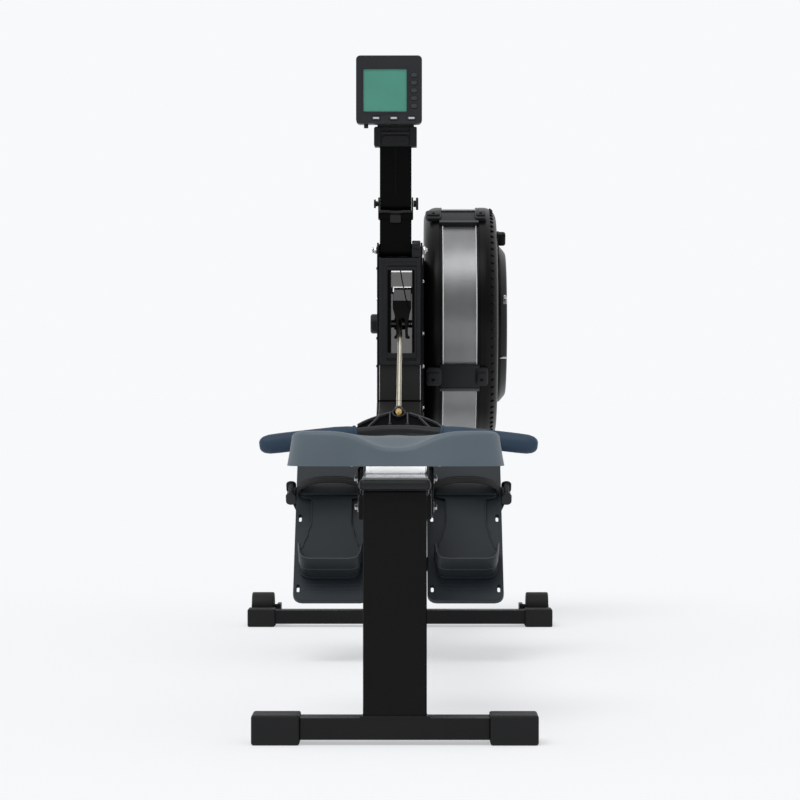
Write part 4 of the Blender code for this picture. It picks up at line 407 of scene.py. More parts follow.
def tidyFaces(obj, smooth=True, sharp=40.0):
    # Faces point outwards; edges steeper than the limit stay crisp.
    shape = bmesh.new()
    shape.from_mesh(obj.data)
    bmesh.ops.remove_doubles(shape, verts=shape.verts, dist=0.000001)
    bmesh.ops.recalc_face_normals(shape, faces=shape.faces)
    limit = np.radians(sharp)
    for face in shape.faces:
        face.smooth = smooth
    for edge in shape.edges:
        edge.smooth = not (len(edge.link_faces) == 2 and edge.calc_face_angle(0.0) > limit)
    shape.to_mesh(obj.data)
    shape.free()


def joined(name, parts):
    # Several meshes of one finish or more become one piece.
    shape = bmesh.new()
    looks = []
    for part in parts:
        start = len(shape.faces)
        shape.from_mesh(part.data)
        shape.faces.ensure_lookup_table()
        for look in part.data.materials:
            if look not in looks:
                looks.append(look)
        turn = [looks.index(look) for look in part.data.materials]
        for face in shape.faces[start:]:
            face.material_index = turn[face.material_index] if face.material_index < len(turn) else turn[0]
    mesh = bpy.data.meshes.new(name)
    shape.to_mesh(mesh)
    shape.free()
    for look in looks:
        mesh.materials.append(look)
    for part in parts:
        bpy.data.objects.remove(part)
    obj = bpy.data.objects.new(name, mesh)
    bpy.context.scene.collection.objects.link(obj)
    return obj


def roundRect(width, height, radius, steps=6):
    # Corners are quarter circles at the four insides of the rectangle.
    angles = np.linspace(0.0, np.pi / 2.0, steps)
    quarter = np.arange(4)[:, None] * np.pi / 2.0 + angles[None, :]
    signs = np.array([(1, 1), (-1, 1), (-1, -1), (1, -1)])
    corner = signs * np.array([width / 2.0 - radius, height / 2.0 - radius])
    x = corner[:, 0:1] + radius * np.cos(quarter)
    y = corner[:, 1:2] + radius * np.sin(quarter)
    return np.stack([x.ravel(), y.ravel()], -1)


def ring(radius, steps=24):
    angle = np.linspace(0.0, 2.0 * np.pi, steps, endpoint=False)
    return np.stack([radius * np.cos(angle), radius * np.sin(angle)], -1)


def inwards(outline, distance):
    # Each corner moves in along the mean of its two edge normals, far enough to keep the edges parallel.
    ahead = np.roll(outline, -1, 0) - outline
    ahead /= np.linalg.norm(ahead, axis=1)[:, None] + 1e-12
    behind = np.roll(ahead, 1, 0)
    normal = np.stack([-(ahead[:, 1] + behind[:, 1]), ahead[:, 0] + behind[:, 0]], -1)
    length = np.linalg.norm(normal, axis=1)[:, None]
    normal /= length + 1e-12
    return outline + normal * distance / np.maximum(length / 2.0, 0.35)


def placed(local, origin, first, second):
    # Local x and y run along the two given directions, local z along their cross product.
    first, second = np.array(first, float), np.array(second, float)
    return np.array(origin) + local @ np.stack([first, second, np.cross(first, second)])


def slab(name, outline, low, high, look, origin=(0, 0, 0), first=(1, 0, 0), second=(0, 1, 0), edge=0.001,
        steps=3, dome=0.0):
    # A plate with round edges: rings of the outline step in as they turn over each face.
    turn = np.linspace(0.0, np.pi / 2.0, steps)
    insets = edge * (1.0 - np.sin(turn))
    rise = edge * (1.0 - np.cos(turn))
    rings = [np.c_[inwards(outline, inset), np.full(len(outline), low + lift)] for inset,
        lift in zip(insets, rise)]
    rings += [np.c_[inwards(outline, inset), np.full(len(outline), high - lift)] for inset,
        lift in zip(insets[::-1], rise[::-1])]
    points = np.array(rings)
    count = len(outline)
    faces = gridFaces(len(rings), count, aroundColumns=True).tolist()
    points = points.reshape(-1, 3)
    top = (len(rings) - 1) * count
    faces.append(list(range(count)))
    if dome:
        middle = outline.mean(0)
        points = np.vstack([points, [[*middle, high + dome]]])
        around = np.arange(count)
        faces += np.stack([top + around, top + (around + 1) % count, np.full(count, len(points) - 1)],
            -1).tolist()
    else:
        faces.append(list(range(top, top + count)))
    obj = newPiece(name, placed(points, origin, first, second), faces, look)
    for face in obj.data.polygons:
        face.use_smooth = len(face.vertices) < 5
    return obj


def lathe(name, profile, centre, look, steps=64, closed=False, uvScale=None):
    # Spun about the X axis: profile points are (x, radius); the angle runs round the axle.
    profile = np.asarray(profile, float)
    angle = np.linspace(0.0, 2.0 * np.pi, steps, endpoint=False)
    x = np.repeat(profile[:, 0:1], steps, 1)
    y = centre[0] + profile[:, 1:2] * np.cos(angle)
    z = centre[1] + profile[:, 1:2] * np.sin(angle)
    obj = newPiece(name, np.stack([x, y, z], -1), gridFaces(len(profile), steps, closed, True), look)
    if uvScale:
        # Corner by corner, so that the last column runs on to a full turn instead of back to nothing.
        mesh = obj.data
        corner = np.zeros(len(mesh.loops), int)
        mesh.loops.foreach_get("vertex_index", corner)
        starts = np.array([face.loop_start for face in mesh.polygons])
        column = corner % steps
        last = np.maximum.reduceat(column, starts) == steps - 1
        last = np.repeat(last, np.diff(np.append(starts, len(corner))))
        column = np.where(last & (column == 0), steps, column)
        around = np.round(2.0 * np.pi * profile[:, 1].max() * uvScale)
        flat = np.stack([profile[corner // steps, 0] * uvScale, column / steps * around], -1)
        mesh.uv_layers.new(name="UVMap").data.foreach_set("uv", flat.ravel())
    return obj


def roundedProfile(points, radius, steps=5):
    # Each inner corner of an open line is replaced by a quadratic curve between points set back from it.
    points = np.asarray(points, float)
    corner = points[1:-1]
    back, ahead = points[:-2] - corner, points[2:] - corner
    backLength = np.linalg.norm(back, axis=1)[:, None]
    aheadLength = np.linalg.norm(ahead, axis=1)[:, None]
    reach = np.minimum(np.minimum(backLength, aheadLength) * 0.45, radius)
    start = corner + back / (backLength + 1e-12) * reach
    end = corner + ahead / (aheadLength + 1e-12) * reach
    t = np.linspace(0.0, 1.0, steps)[None, :, None]
    curve = (1 - t) ** 2 * start[:, None] + 2 * t * (1 - t) * corner[:, None] + t ** 2 * end[:, None]
    return np.vstack([points[:1], curve.reshape(-1, 2), points[-1:]])


def sweep(name, path, section, look, side=(1, 0, 0), uv=None):
    # A section carried along a flat path: its x lies along the given side, its y square to side and path.
    path = np.asarray(path, float)
    side = np.array(side, float)
    along = np.gradient(path, axis=0)
    along /= np.linalg.norm(along, axis=1)[:, None]
    up = np.cross(along, side)
    up /= np.linalg.norm(up, axis=1)[:, None]
    points = path[:, None] + section[None, :, 0:1] * side + section[None, :, 1:2] * up[:, None]
    count = len(section)
    faces = gridFaces(len(path), count, aroundColumns=True).tolist()
    faces += [list(range(count)), list(range((len(path) - 1) * count, len(path) * count))]
    return newPiece(name, points, faces, look, uv=uv)


def squareTo(way):
    # Two unit directions square to the given way and to each other.
    way = np.array(way, float)
    other = np.array((0.0, 0.0, 1.0)) if abs(way[2]) < 0.7 else np.array((0.0, 1.0, 0.0))
    first = np.cross(other, way)
    first /= np.linalg.norm(first)
    return first, np.cross(way, first)


def hexBolt(name, place, way, size, tall=0.6):
    # A six-sided head on a round washer, standing out along the given way; sizes are shares of the bolt's.
    first, second = squareTo(way)
    lift = size * 0.14
    washer = slab("washer", ring(size * 0.95, 24), 0.0, lift, "zincPlate", place, first, second, size * 0.05)
    head = slab("head", ring(size * 0.58, 6), lift, lift + size * tall, "zincPlate", place, first, second,
        size * 0.07, dome=size * 0.03)
    return joined(name, [washer, head])


def capScrew(name, place, way, size, look="zincPlate"):
    # A domed round head with a round recess.
    first, second = squareTo(way)
    turn = np.linspace(0.0, np.pi / 2.0, 5)
    radii = np.r_[size * np.cos(turn[:4]) ** 0.6, size * 0.42, size * 0.36, size * 0.30]
    heights = np.r_[size * 0.55 * np.sin(turn[:4]), size * 0.55, size * 0.52, size * 0.18]
    spin = np.linspace(0.0, 2.0 * np.pi, 24, endpoint=False)
    points = np.stack([radii[:, None] * np.cos(spin), radii[:, None] * np.sin(spin),
        np.repeat(heights[:, None], 24, 1)], -1)
    faces = gridFaces(len(radii), 24, aroundColumns=True).tolist()
    faces += [list(range(24)), list(range((len(radii) - 1) * 24, len(radii) * 24))]
    return newPiece(name, placed(points.reshape(-1, 3), place, first, second), faces, look)


def refined(node, look, width=0.001, steps=2):
    # A CAD solid's own faces, merged and given small round edges.
    shape = bmesh.new()
    shape.from_mesh(nodes[node].data)
    shape.transform(nodes[node].matrix_world)
    bmesh.ops.remove_doubles(shape, verts=shape.verts, dist=0.00002)
    bmesh.ops.dissolve_limit(shape, angle_limit=np.radians(1.0), verts=shape.verts, edges=shape.edges,
        delimit={"NORMAL"})
    mesh = bpy.data.meshes.new(node + "Skin")
    shape.to_mesh(mesh)
    shape.free()
    mesh.materials.append(finish(look))
    obj = bpy.data.objects.new(node + "Skin", mesh)
    bpy.context.scene.collection.objects.link(obj)
    tidyFaces(obj, True, 30.0)
    bevel = obj.modifiers.new("roundEdges", "BEVEL")
    bevel.width = width
    bevel.segments = steps
    bevel.limit_method = "ANGLE"
    bevel.angle_limit = np.radians(28.0)
    bevel.use_clamp_overlap = False
    bevel.harden_normals = True
    return obj


def standRefined(name, look, width, body, steps=2):
    # A part whose shape is the CAD's own, with its edges rounded.
    stand(refined(name, look, width, steps), body, [name])


def makeBeams():
    # Narrow beams from beside the camera light only the pieces named with each.
    for name, power, aim, pieces in studio["beams"]:
        beam = bpy.data.objects.new(name, bpy.data.lights.new(name, "SPOT"))
        beam.data.energy = power
        beam.data.spot_size = studio["beamSpread"]
        beam.data.spot_blend = 0.5
        beam.data.shadow_soft_size = 0.02
        beam.location = studio["cameraPlace"]
        way = Vector(aim) - Vector(studio["cameraPlace"])
        beam.rotation_euler = way.to_track_quat("-Z", "Y").to_euler()
        bpy.context.scene.collection.objects.link(beam)
        lit = bpy.data.collections.new(name + "Pieces")
        for piece in pieces:
            lit.objects.link(nodes.get(piece) or bpy.data.objects[piece])
        beam.light_linking.receiver_collection = lit


def stand(obj, body, instead=()):
    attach(obj, body)
    if instead:
        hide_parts(*instead)
    return obj


ownFinish = {
    "flexfoot_left": "plateMoulding",
    "flexfoot_right": "plateMoulding",
    "monitor_case": "monitorMoulding",
}


def dressNodes():
    for name, node in nodes.items():
        look = finish(ownFinish.get(name, finishOfSlot[slotOf[name]]))
        node.data.materials.clear()
        node.data.materials.append(look)


# Seat
seatShape = {
    "middle": (0.0, -0.901),
    "halfWidth": 0.1535,
    "depth": 0.238,
    "narrowing": 0.12,
    "flare": 0.957,
    "bottom": 0.3642,
    "rearTop": 0.4133,
    "frontTop": 0.4000,
    "dipDepth": 0.0230,
    "dipWidth": 0.058,
    "wall": 0.0042,
    "edge": 0.0065,
    "around": 240,
    "rings": 44,
}


def seatLevel(x, along):
    # Rear level falling to the front level, less a flat-bottomed dip, less two hollows, plus a front hump.
    s = seatShape
    level = s["frontTop"] + (s["rearTop"] - s["frontTop"]) * np.exp(-(along / 0.40) ** 2)
    dip = s["dipDepth"] * np.exp(-np.abs(x / s["dipWidth"]) ** 2.6) * np.exp(-(along / 0.19) ** 2)
    bones = 0.0050 * np.exp(-(((np.abs(x) - 0.062) / 0.034) ** 2) - ((along - 0.50) / 0.20) ** 2)
    hump = 0.0045 * np.exp(-((x / 0.045) ** 2) - ((along - 0.92) / 0.30) ** 2)
    return level - dip - bones + hump


def seatRim(count):
    # A superellipse, walked in even steps: across and forward each run from -1 to 1.
    turn = np.linspace(0.0, 2.0 * np.pi, 8001)
    c, s = np.cos(turn), np.sin(turn)
    line = np.stack([np.sign(c) * np.abs(c) ** 0.30, np.sign(s) * np.abs(s) ** 0.34], -1)
    run = np.r_[0.0, np.cumsum(np.linalg.norm(np.diff(line * [1.0, 0.8], axis=0), axis=1))]
    at = np.linspace(0.0, run[-1], count, endpoint=False)
    return np.interp(at, run, line[:, 0]), np.interp(at, run, line[:, 1])


def seatPlan(rim, reach):
    # Reach runs from 0 in the middle to 1 at the rim; the half width narrows to the front.
    across, forward = rim[0][None] * reach, rim[1][None] * reach
    along = (forward + 1.0) / 2.0
    half = seatShape["halfWidth"] * (1.0 - seatShape["narrowing"] * along ** 2)
    return half * across, seatShape["depth"] / 2.0 * forward, along


def makeSeat():
    s = seatShape
    rim = seatRim(s["around"])
    reach = (np.linspace(0.0, 1.0, s["rings"] + 1)[1:, None]) ** 0.8
    x, y, along = seatPlan(rim, reach)
    level = seatLevel(x, along)
    edge = s["edge"]
    # The last rings roll over a quarter circle, then the skirt drops to the rim with a slight flare.
    shrink = s["flare"] - edge / s["halfWidth"] * 1.4
    top = np.stack([x * shrink, y * shrink, level], -1)
    roll = np.linspace(0.0, np.pi / 2.0, 7)[1:, None]
    rimX, rimY, rimAlong = seatPlan(rim, np.ones((1, 1)))
    outX = rimX * (shrink + (s["flare"] - shrink) * np.sin(roll))
    outY = rimY * (shrink + (0.985 - shrink) * np.sin(roll))
    outZ = seatLevel(rimX, rimAlong) - edge * (1.0 - np.cos(roll))
    rolled = np.stack([outX, outY, outZ], -1)
    drop = np.linspace(0.0, 1.0, 9)[1:, None]
    flare = 0.985 + 0.015 * drop ** 1.5
    spread = s["flare"] + (1.0 - s["flare"]) * drop ** 1.1
    lowZ = (seatLevel(rimX, rimAlong) - edge) * (1.0 - drop) + s["bottom"] * drop
    skirt = np.stack([rimX * spread, rimY * flare, lowZ], -1)
    inset = 1.0 - s["wall"] / s["halfWidth"]
    lip = np.stack([rimX * inset, rimY * (1.0 - s["wall"] / (s["depth"] / 2.0)),
        np.full_like(rimX, s["bottom"])], -1)
    inner = np.stack([x * (inset - 0.02), y * (inset - 0.02), level - s["wall"]], -1)[::-1]
    rings = np.concatenate([top, rolled, skirt, lip, inner])
    count = s["around"]
    points = rings.reshape(-1, 3) + np.array([*s["middle"], 0.0])
    faces = gridFaces(len(rings), count, aroundColumns=True).tolist()
    faces += [list(range(count)), list(range((len(rings) - 1) * count, len(rings) * count))]
    shell = newPiece("seatMould", points, faces, "seatMoulding", sharp=60.0)
    # Stiffening ribs and screw bosses under the shell.
    parts = [shell]
    for offset in (-0.060, 0.0, 0.060):
        rib = slab("rib", roundRect(0.150, 0.0030, 0.0012, 3), 0.386, 0.3985 - abs(offset) * 0.03,
            "seatMoulding", (0.0, s["middle"][1] + offset, 0.0), edge=0.0006)
        parts.append(rib)
    for side in (-1.0, 1.0):
        for offset in (-0.025, 0.025):
            parts.append(slab("boss", ring(0.0080, 24), 0.3886, 0.402, "seatMoulding",
                (side * 0.030, s["middle"][1] + offset, 0.0), edge=0.0006))
    stand(joined("seatTop", parts), "seat", ["seat_shell"])
    screws = [capScrew("screw", (side * x, s["middle"][1] + y, 0.3658), (0.0, 0.0, -1.0),
        0.0036) for side in (-1.0, 1.0) for x, y in ((0.0605, -0.112), (0.0605, 0.060))]
    tabs = [slab("tab", roundRect(0.020, 0.018, 0.004), 0.3645, 0.3690, "darkMoulding",
        (side * 0.0590, s["middle"][1] + y, 0.0), edge=0.0008) for side in (-1.0, 1.0) for y in (-0.104,
        0.060)]
    # Side plates of the carriage reach down past the rail, with their nuts and two bright zinc strips a side
    # that are painted highlights: one on the plate's rear edge, one where the leg's edge catches light.
    plates, nuts, edges = [], [], []
    for side in (-1.0, 1.0):
        outline = np.array([(-0.973, 0.350), (-0.925, 0.290), (-0.877, 0.290), (-0.829, 0.350),
            (-0.829, 0.3600), (-0.973, 0.3600)])
        outline = roundedProfile(np.vstack([outline, outline[:1]]), 0.008)[:-1]
        plates.append(slab("side", outline, side * 0.0520 - 0.0012, side * 0.0520 + 0.0012, "powderCoat",
            (0, 0, 0), (0, 1, 0), (0, 0, 1), 0.0004))
        for y, z in ((-0.955, 0.3455), (-0.915, 0.3040), (-0.887, 0.3040), (-0.847, 0.3455)):
            nuts.append(hexBolt("nut", (side * 0.0532, y, z), (side, 0, 0), 0.0070, tall=0.55))
        # Painted highlights: thin bright zinc strips along the edges.
        for low, high, x in ((0.2930, 0.3350, 0.0512), (0.2950, 0.3290, 0.0463)):
            edges.append(wallPlate("edge", (side * x - 0.0007, -0.9270, low),
                (side * x + 0.0007, -0.9255, high), "zincPlate", 0.0002))
    stand(joined("carriageSides", plates), "seat")
    stand(joined("carriageNutsAndHighlights", nuts + edges), "seat")
    stand(joined("seatScrews", screws), "seat")
    stand(joined("seatTabs", tabs), "seat")
    # Rollers as wide as the rail, with chamfered ends and a groove near each.
    for place, y in (("rear", -0.961), ("front", -0.841)):
        half = [(0.0, 0.0155), (0.0330, 0.0155), (0.0335, 0.0150), (0.0345, 0.0150), (0.0350, 0.0155),
            (0.0405, 0.0155), (0.0415, 0.0147), (0.0415, 0.0062)]
        line = [(-x, r) for x, r in half[::-1]] + half[1:]
        roller = lathe("roller", line, (y, 0.3678), "rollerNylon", 64, closed=True)
        stand(joined(place + "Roller", [roller]), place + "_rollers",
            ["top_rollers_" + place])
    print("seat made")


# Handle, drawn in its own plane: across, forward and above, with the plane tipped up to the front
handleShape = {
    "place": (0.109, 0.400),
    "tilt": np.radians(38.0),
    "bend": np.radians(10.8),
    "blend": 0.020,
    "flat": 0.014,
    "barRadius": 0.0109,
    "barEnd": 0.0730,
    "halfWidth": 0.2425,
    "apex": 0.057,
    "fanHalf": 0.077,
    "swivelTail": (0.17534, 0.4401),
}


def handleForward(across):
    # A straight middle, then both halves bend back along a hyperbola to the given angle.
    s = handleShape
    beyond = np.maximum(0.0, np.abs(across) - s["flat"])
    return np.tan(s["bend"]) * (s["blend"] - np.hypot(beyond, s["blend"]))


def onHandle(local):
    s = handleShape
    local = np.atleast_2d(np.asarray(local, float))
    c, sn = np.cos(s["tilt"]), np.sin(s["tilt"])
    return np.stack([local[:, 0], s["place"][0] + local[:, 1] * c - local[:, 2] * sn,
        s["place"][1] + local[:, 1] * sn + local[:, 2] * c], -1)


def handleTube(name, acrosses, radii, look, flats=24):
    # Circles square to the bent line; the line stays in the handle's plane.
    line = np.stack([acrosses, handleForward(acrosses), np.zeros_like(acrosses)], -1)
    along = np.gradient(line, axis=0)
    along /= np.linalg.norm(along, axis=1)[:, None]
    side = np.stack([-along[:, 1], along[:, 0], np.zeros(len(line))], -1)
    spin = np.linspace(0.0, 2.0 * np.pi, flats, endpoint=False)
    points = line[:, None] + radii[:, None, None] * (np.cos(spin)[None, :, None] * side[:,
        None] + np.sin(spin)[None, :, None] * np.array([0.0, 0.0, 1.0]))
    faces = gridFaces(len(line), flats, aroundColumns=True).tolist()
    faces += [list(range(flats)), list(range((len(line) - 1) * flats, len(line) * flats))]
    return newPiece(name, onHandle(points.reshape(-1, 3)), faces, look, sharp=50.0)


def handleWall(name, start, end, width, low, high, look="darkMoulding"):
    # A thin upright wall between two points of the plane, rounded at its edges.
    start, end = np.array(start, float), np.array(end, float)
    length = np.linalg.norm(end - start)
    way = (end - start) / length
    outline = roundRect(length + width, width, width * 0.45, 4)
    middle = (start + end) / 2.0
    obj = slab(name, outline, low, high, look, (*middle, 0.0), (way[0], way[1], 0.0),
        (-way[1], way[0], 0.0), edge=width * 0.25)
    moveMesh(obj, onHandle)
    return obj


def moveMesh(obj, change):
    count = len(obj.data.vertices)
    flat = np.zeros(count * 3)
    obj.data.vertices.foreach_get("co", flat)
    obj.data.vertices.foreach_set("co", np.asarray(change(flat.reshape(-1, 3)), float).ravel())
    obj.data.update()


def makeHandle():
    s = handleShape
    end = s["barEnd"]
    bar = handleTube("bar", np.linspace(-end, end, 41), np.full(41, s["barRadius"]), "darkMoulding")
    apex = s["apex"]
    # The fan between the bar and the swivel: a thin web, a rim round it and four upright ribs; the web's near
    # black is painted deep shade, the grey of the rim and ribs painted highlight.
    side = np.linspace(0.0, 1.0, 24)
    outer = s["fanHalf"]
    edgeX = outer - (outer - 0.014) * side
    low = handleForward(np.array([outer]))[0] + 0.012
    edgeY = low + (apex - 0.010 - low) * side ** 0.66
    right = np.stack([edgeX, edgeY], -1)
    left = right[::-1] * np.array([-1.0, 1.0])
    lower = np.linspace(-0.074, 0.074, 31)
    base = np.stack([lower, handleForward(lower) + 0.004], -1)
    fan = np.vstack([base, right[1:], left[:-1]])
    web = slab("web", fan, -0.0018, 0.0018, "deepBlackAndShade", edge=0.0004)
    moveMesh(web, onHandle)
    parts = [bar, web]
    for edge in (right, left):
        for i in range(0, len(edge) - 3, 3):
            parts.append(handleWall("rim", edge[i], edge[min(i + 3, len(edge) - 1)], 0.0026, -0.0065,
                0.0065, "highlitRibMoulding"))
    for foot, tip, top in ((-0.056, -0.036, 0.033), (-0.0160, -0.0155, 0.043), (0.0160, 0.0155, 0.043),
            (0.056, 0.036, 0.033)):
        parts.append(handleWall("rib", (foot, 0.006 + handleForward(np.array([foot]))[0]), (tip, top),
            0.0024, -0.0072, 0.0072, "highlitRibMoulding"))
    for x in (-0.0155, 0.0155):
        knob = slab("pip", ring(0.0030, 16), 0.0, 0.0084, "darkMoulding", (x, 0.011, 0.0), edge=0.0008)
        moveMesh(knob, onHandle)
        parts.append(knob)
    collar = lathe("collar", [(-0.0072, 0.0115), (-0.0066, 0.0123), (0.0066, 0.0123), (0.0072, 0.0115),
        (0.0072, 0.0100), (0.0066, 0.0092), (-0.0066, 0.0092), (-0.0072, 0.0100)], (0.0, 0.0),
        "darkMoulding", 40, closed=True)
    moveMesh(collar, lambda p: onHandle(np.stack([p[:, 1], p[:, 2] + apex - 0.0120, p[:, 0]], -1)))
    parts.append(collar)
    tail = np.array([0.0, *s["swivelTail"]])
    tip = onHandle([[0.0, apex, 0.0]])[0]
    way = (tail - tip) / np.linalg.norm(tail - tip)
    second = np.cross(way, (1.0, 0.0, 0.0))
    # Local z of these turned parts runs along the chain.
    nose = slab("nose", ring(0.0078, 28), -0.010, 0.0040, "darkMoulding", tip, second, (1.0, 0.0, 0.0),
        edge=0.0012)
    parts.append(nose)
    stand(joined("handleCore", parts), "handle", ["handle_core"])
    brass = []
    for low, high, radius in ((0.0042, 0.0095, 0.0062), (0.0095, 0.0135, 0.0054), (0.0135, 0.0165, 0.0046),
            (0.0165, 0.0210, 0.0038)):
        brass.append(slab("turned", ring(radius, 32), low, high, "turnedBrass", tip, second,
            (1.0, 0.0, 0.0), edge=0.0007))
    stand(joined("chainEye", brass), "handle", ["chain_swivel"])
    for label, sign in (("left", -1.0), ("right", 1.0)):
        share = np.linspace(0.0, 1.0, 72)
        reach = end + 0.0004 + (s["halfWidth"] - end) * share
        radius = np.interp(share, [0, 0.035, 0.10, 0.22, 0.5, 0.80, 0.90, 0.955, 0.985, 1.0],
            [0.0128, 0.0142, 0.0156, 0.0170, 0.0174, 0.0174, 0.0168, 0.0146, 0.0110, 0.0070])
        swell = 1.0 - 0.004 * (np.abs((reach * 1000.0) % 9.0 - 4.5) < 0.7) * (share > 0.12) * (share < 0.86)
        grip = handleTube("grip", sign * reach, radius * swell, "gripRubber", 40)
        cuff = handleTube("cuff", sign * np.linspace(end + 0.0006, end + 0.007, 6),
            np.array([0.0132, 0.0152, 0.0156, 0.0156, 0.0152, 0.0132]), "gripRubber", 40)
        stand(joined("grip_" + label, [grip, cuff]), "handle", ["handle_grip_" + label])
    print("handle made")


# Fan end: cage shells, silver band with its clamps, and damper
cageShape = {
    "axle": (0.976, 0.610),
    "radius": 0.2378,
    "shoulder": 0.026,
    "innerFace": 0.0482,
    "innerRim": 0.0845,
    "outerRim": 0.1530,
    "outerFace": 0.1948,
    "bandRadius": 0.2347,
    "steps": 160,
    "louvres": 84,
    "clampAngles": (118.4, 207.9, 298.4, 28.4),
    "bandPitch": 0.0021,
}
damperShape = {
    "depth": 0.0196,
    "radius": 0.160,
    "leverAngle": 118.0,
    "vaneStep": 15.0,
}


def cageHalf(name, face, rim, hub):
    # Profile: face, quarter-circle shoulder, rim with a rolled bead, then back inside at wall thickness.
    s = cageShape
    way = 1.0 if rim > face else -1.0
    radius, shoulder, wall = s["radius"], s["shoulder"], 0.003
    arc = np.linspace(0.0, np.pi / 2.0, 12)
    outer = np.stack([face + way * shoulder * (1 - np.cos(arc)),
        radius - shoulder + shoulder * np.sin(arc)], -1)
    small = shoulder - wall
    inner = np.stack([face + way * (wall + small * (1 - np.cos(arc))),
        radius - shoulder + small * np.sin(arc)], -1)
    steps = [(face, hub), (face, hub + 0.0001), (face, 0.150), (face + way * 0.0012, 0.152),
        (face + way * 0.0012, 0.158), (face, 0.160), (face, 0.196), (face + way * 0.0010, 0.1975),
        (face + way * 0.0010, 0.2005), (face, 0.202)]
    rimLine = [(rim - way * 0.006, radius), (rim - way * 0.0055, radius - 0.0008),
        (rim - way * 0.0045, radius - 0.0008), (rim - way * 0.0040, radius), (rim - way * 0.0006, radius),
        (rim, radius - 0.0006), (rim, radius - wall)]
    profile = np.vstack([steps, outer, rimLine, inner[::-1], [(face + way * wall, hub)]])
    return lathe(name, profile, s["axle"], "cageMoulding", s["steps"], closed=True)


def aroundAxle(points, angle):
    # Turns points about the axle line; angle 0 looks forward and 90 degrees looks up.
    c, sn = np.cos(angle), np.sin(angle)
    y0, z0 = cageShape["axle"]
    y, z = points[..., 1] - y0, points[..., 2] - z0
    return np.stack([points[..., 0] * np.ones_like(y * c), y0 + y * c - z * sn, z0 + y * sn + z * c], -1)


def repeated(name, template, angles, look):
    # One small part copied round the axle as one array.
    count = len(template.data.vertices)
    flat = np.zeros(count * 3)
    template.data.vertices.foreach_get("co", flat)
    points = aroundAxle(flat.reshape(1, -1, 3), np.asarray(angles)[:, None])
    faces = []
    for i in range(len(angles)):
        faces += [[v + i * count for v in face.vertices] for face in template.data.polygons]
    bpy.data.objects.remove(template)
    return newPiece(name, points.reshape(-1, 3), faces, look)


def arcPlate(name, low, high, inner, outer, middle, spread, look, steps=24, taper=0.0):
    # A curved plate on the drum: an x by radius rectangle with round corners, carried along an arc.
    angles = np.radians(middle) + np.linspace(-0.5, 0.5, steps) * np.radians(spread)
    section = roundRect(high - low, outer - inner, min(outer - inner, high - low) * 0.30, 4)
    narrow = 1.0 - taper * np.abs(np.linspace(-1.0, 1.0, steps)) ** 6
    x = (low + high) / 2.0 + section[None, :, 0] * narrow[:, None]
    r = (inner + outer) / 2.0 + section[None, :, 1] * narrow[:, None]
    y0, z0 = cageShape["axle"]
    points = np.stack([x, y0 + r * np.cos(angles)[:, None], z0 + r * np.sin(angles)[:, None]], -1)
    count = len(section)
    faces = gridFaces(steps, count, aroundColumns=True).tolist()
    faces += [list(range(count)), list(range((steps - 1) * count, steps * count))]
    return newPiece(name, points, faces, look)


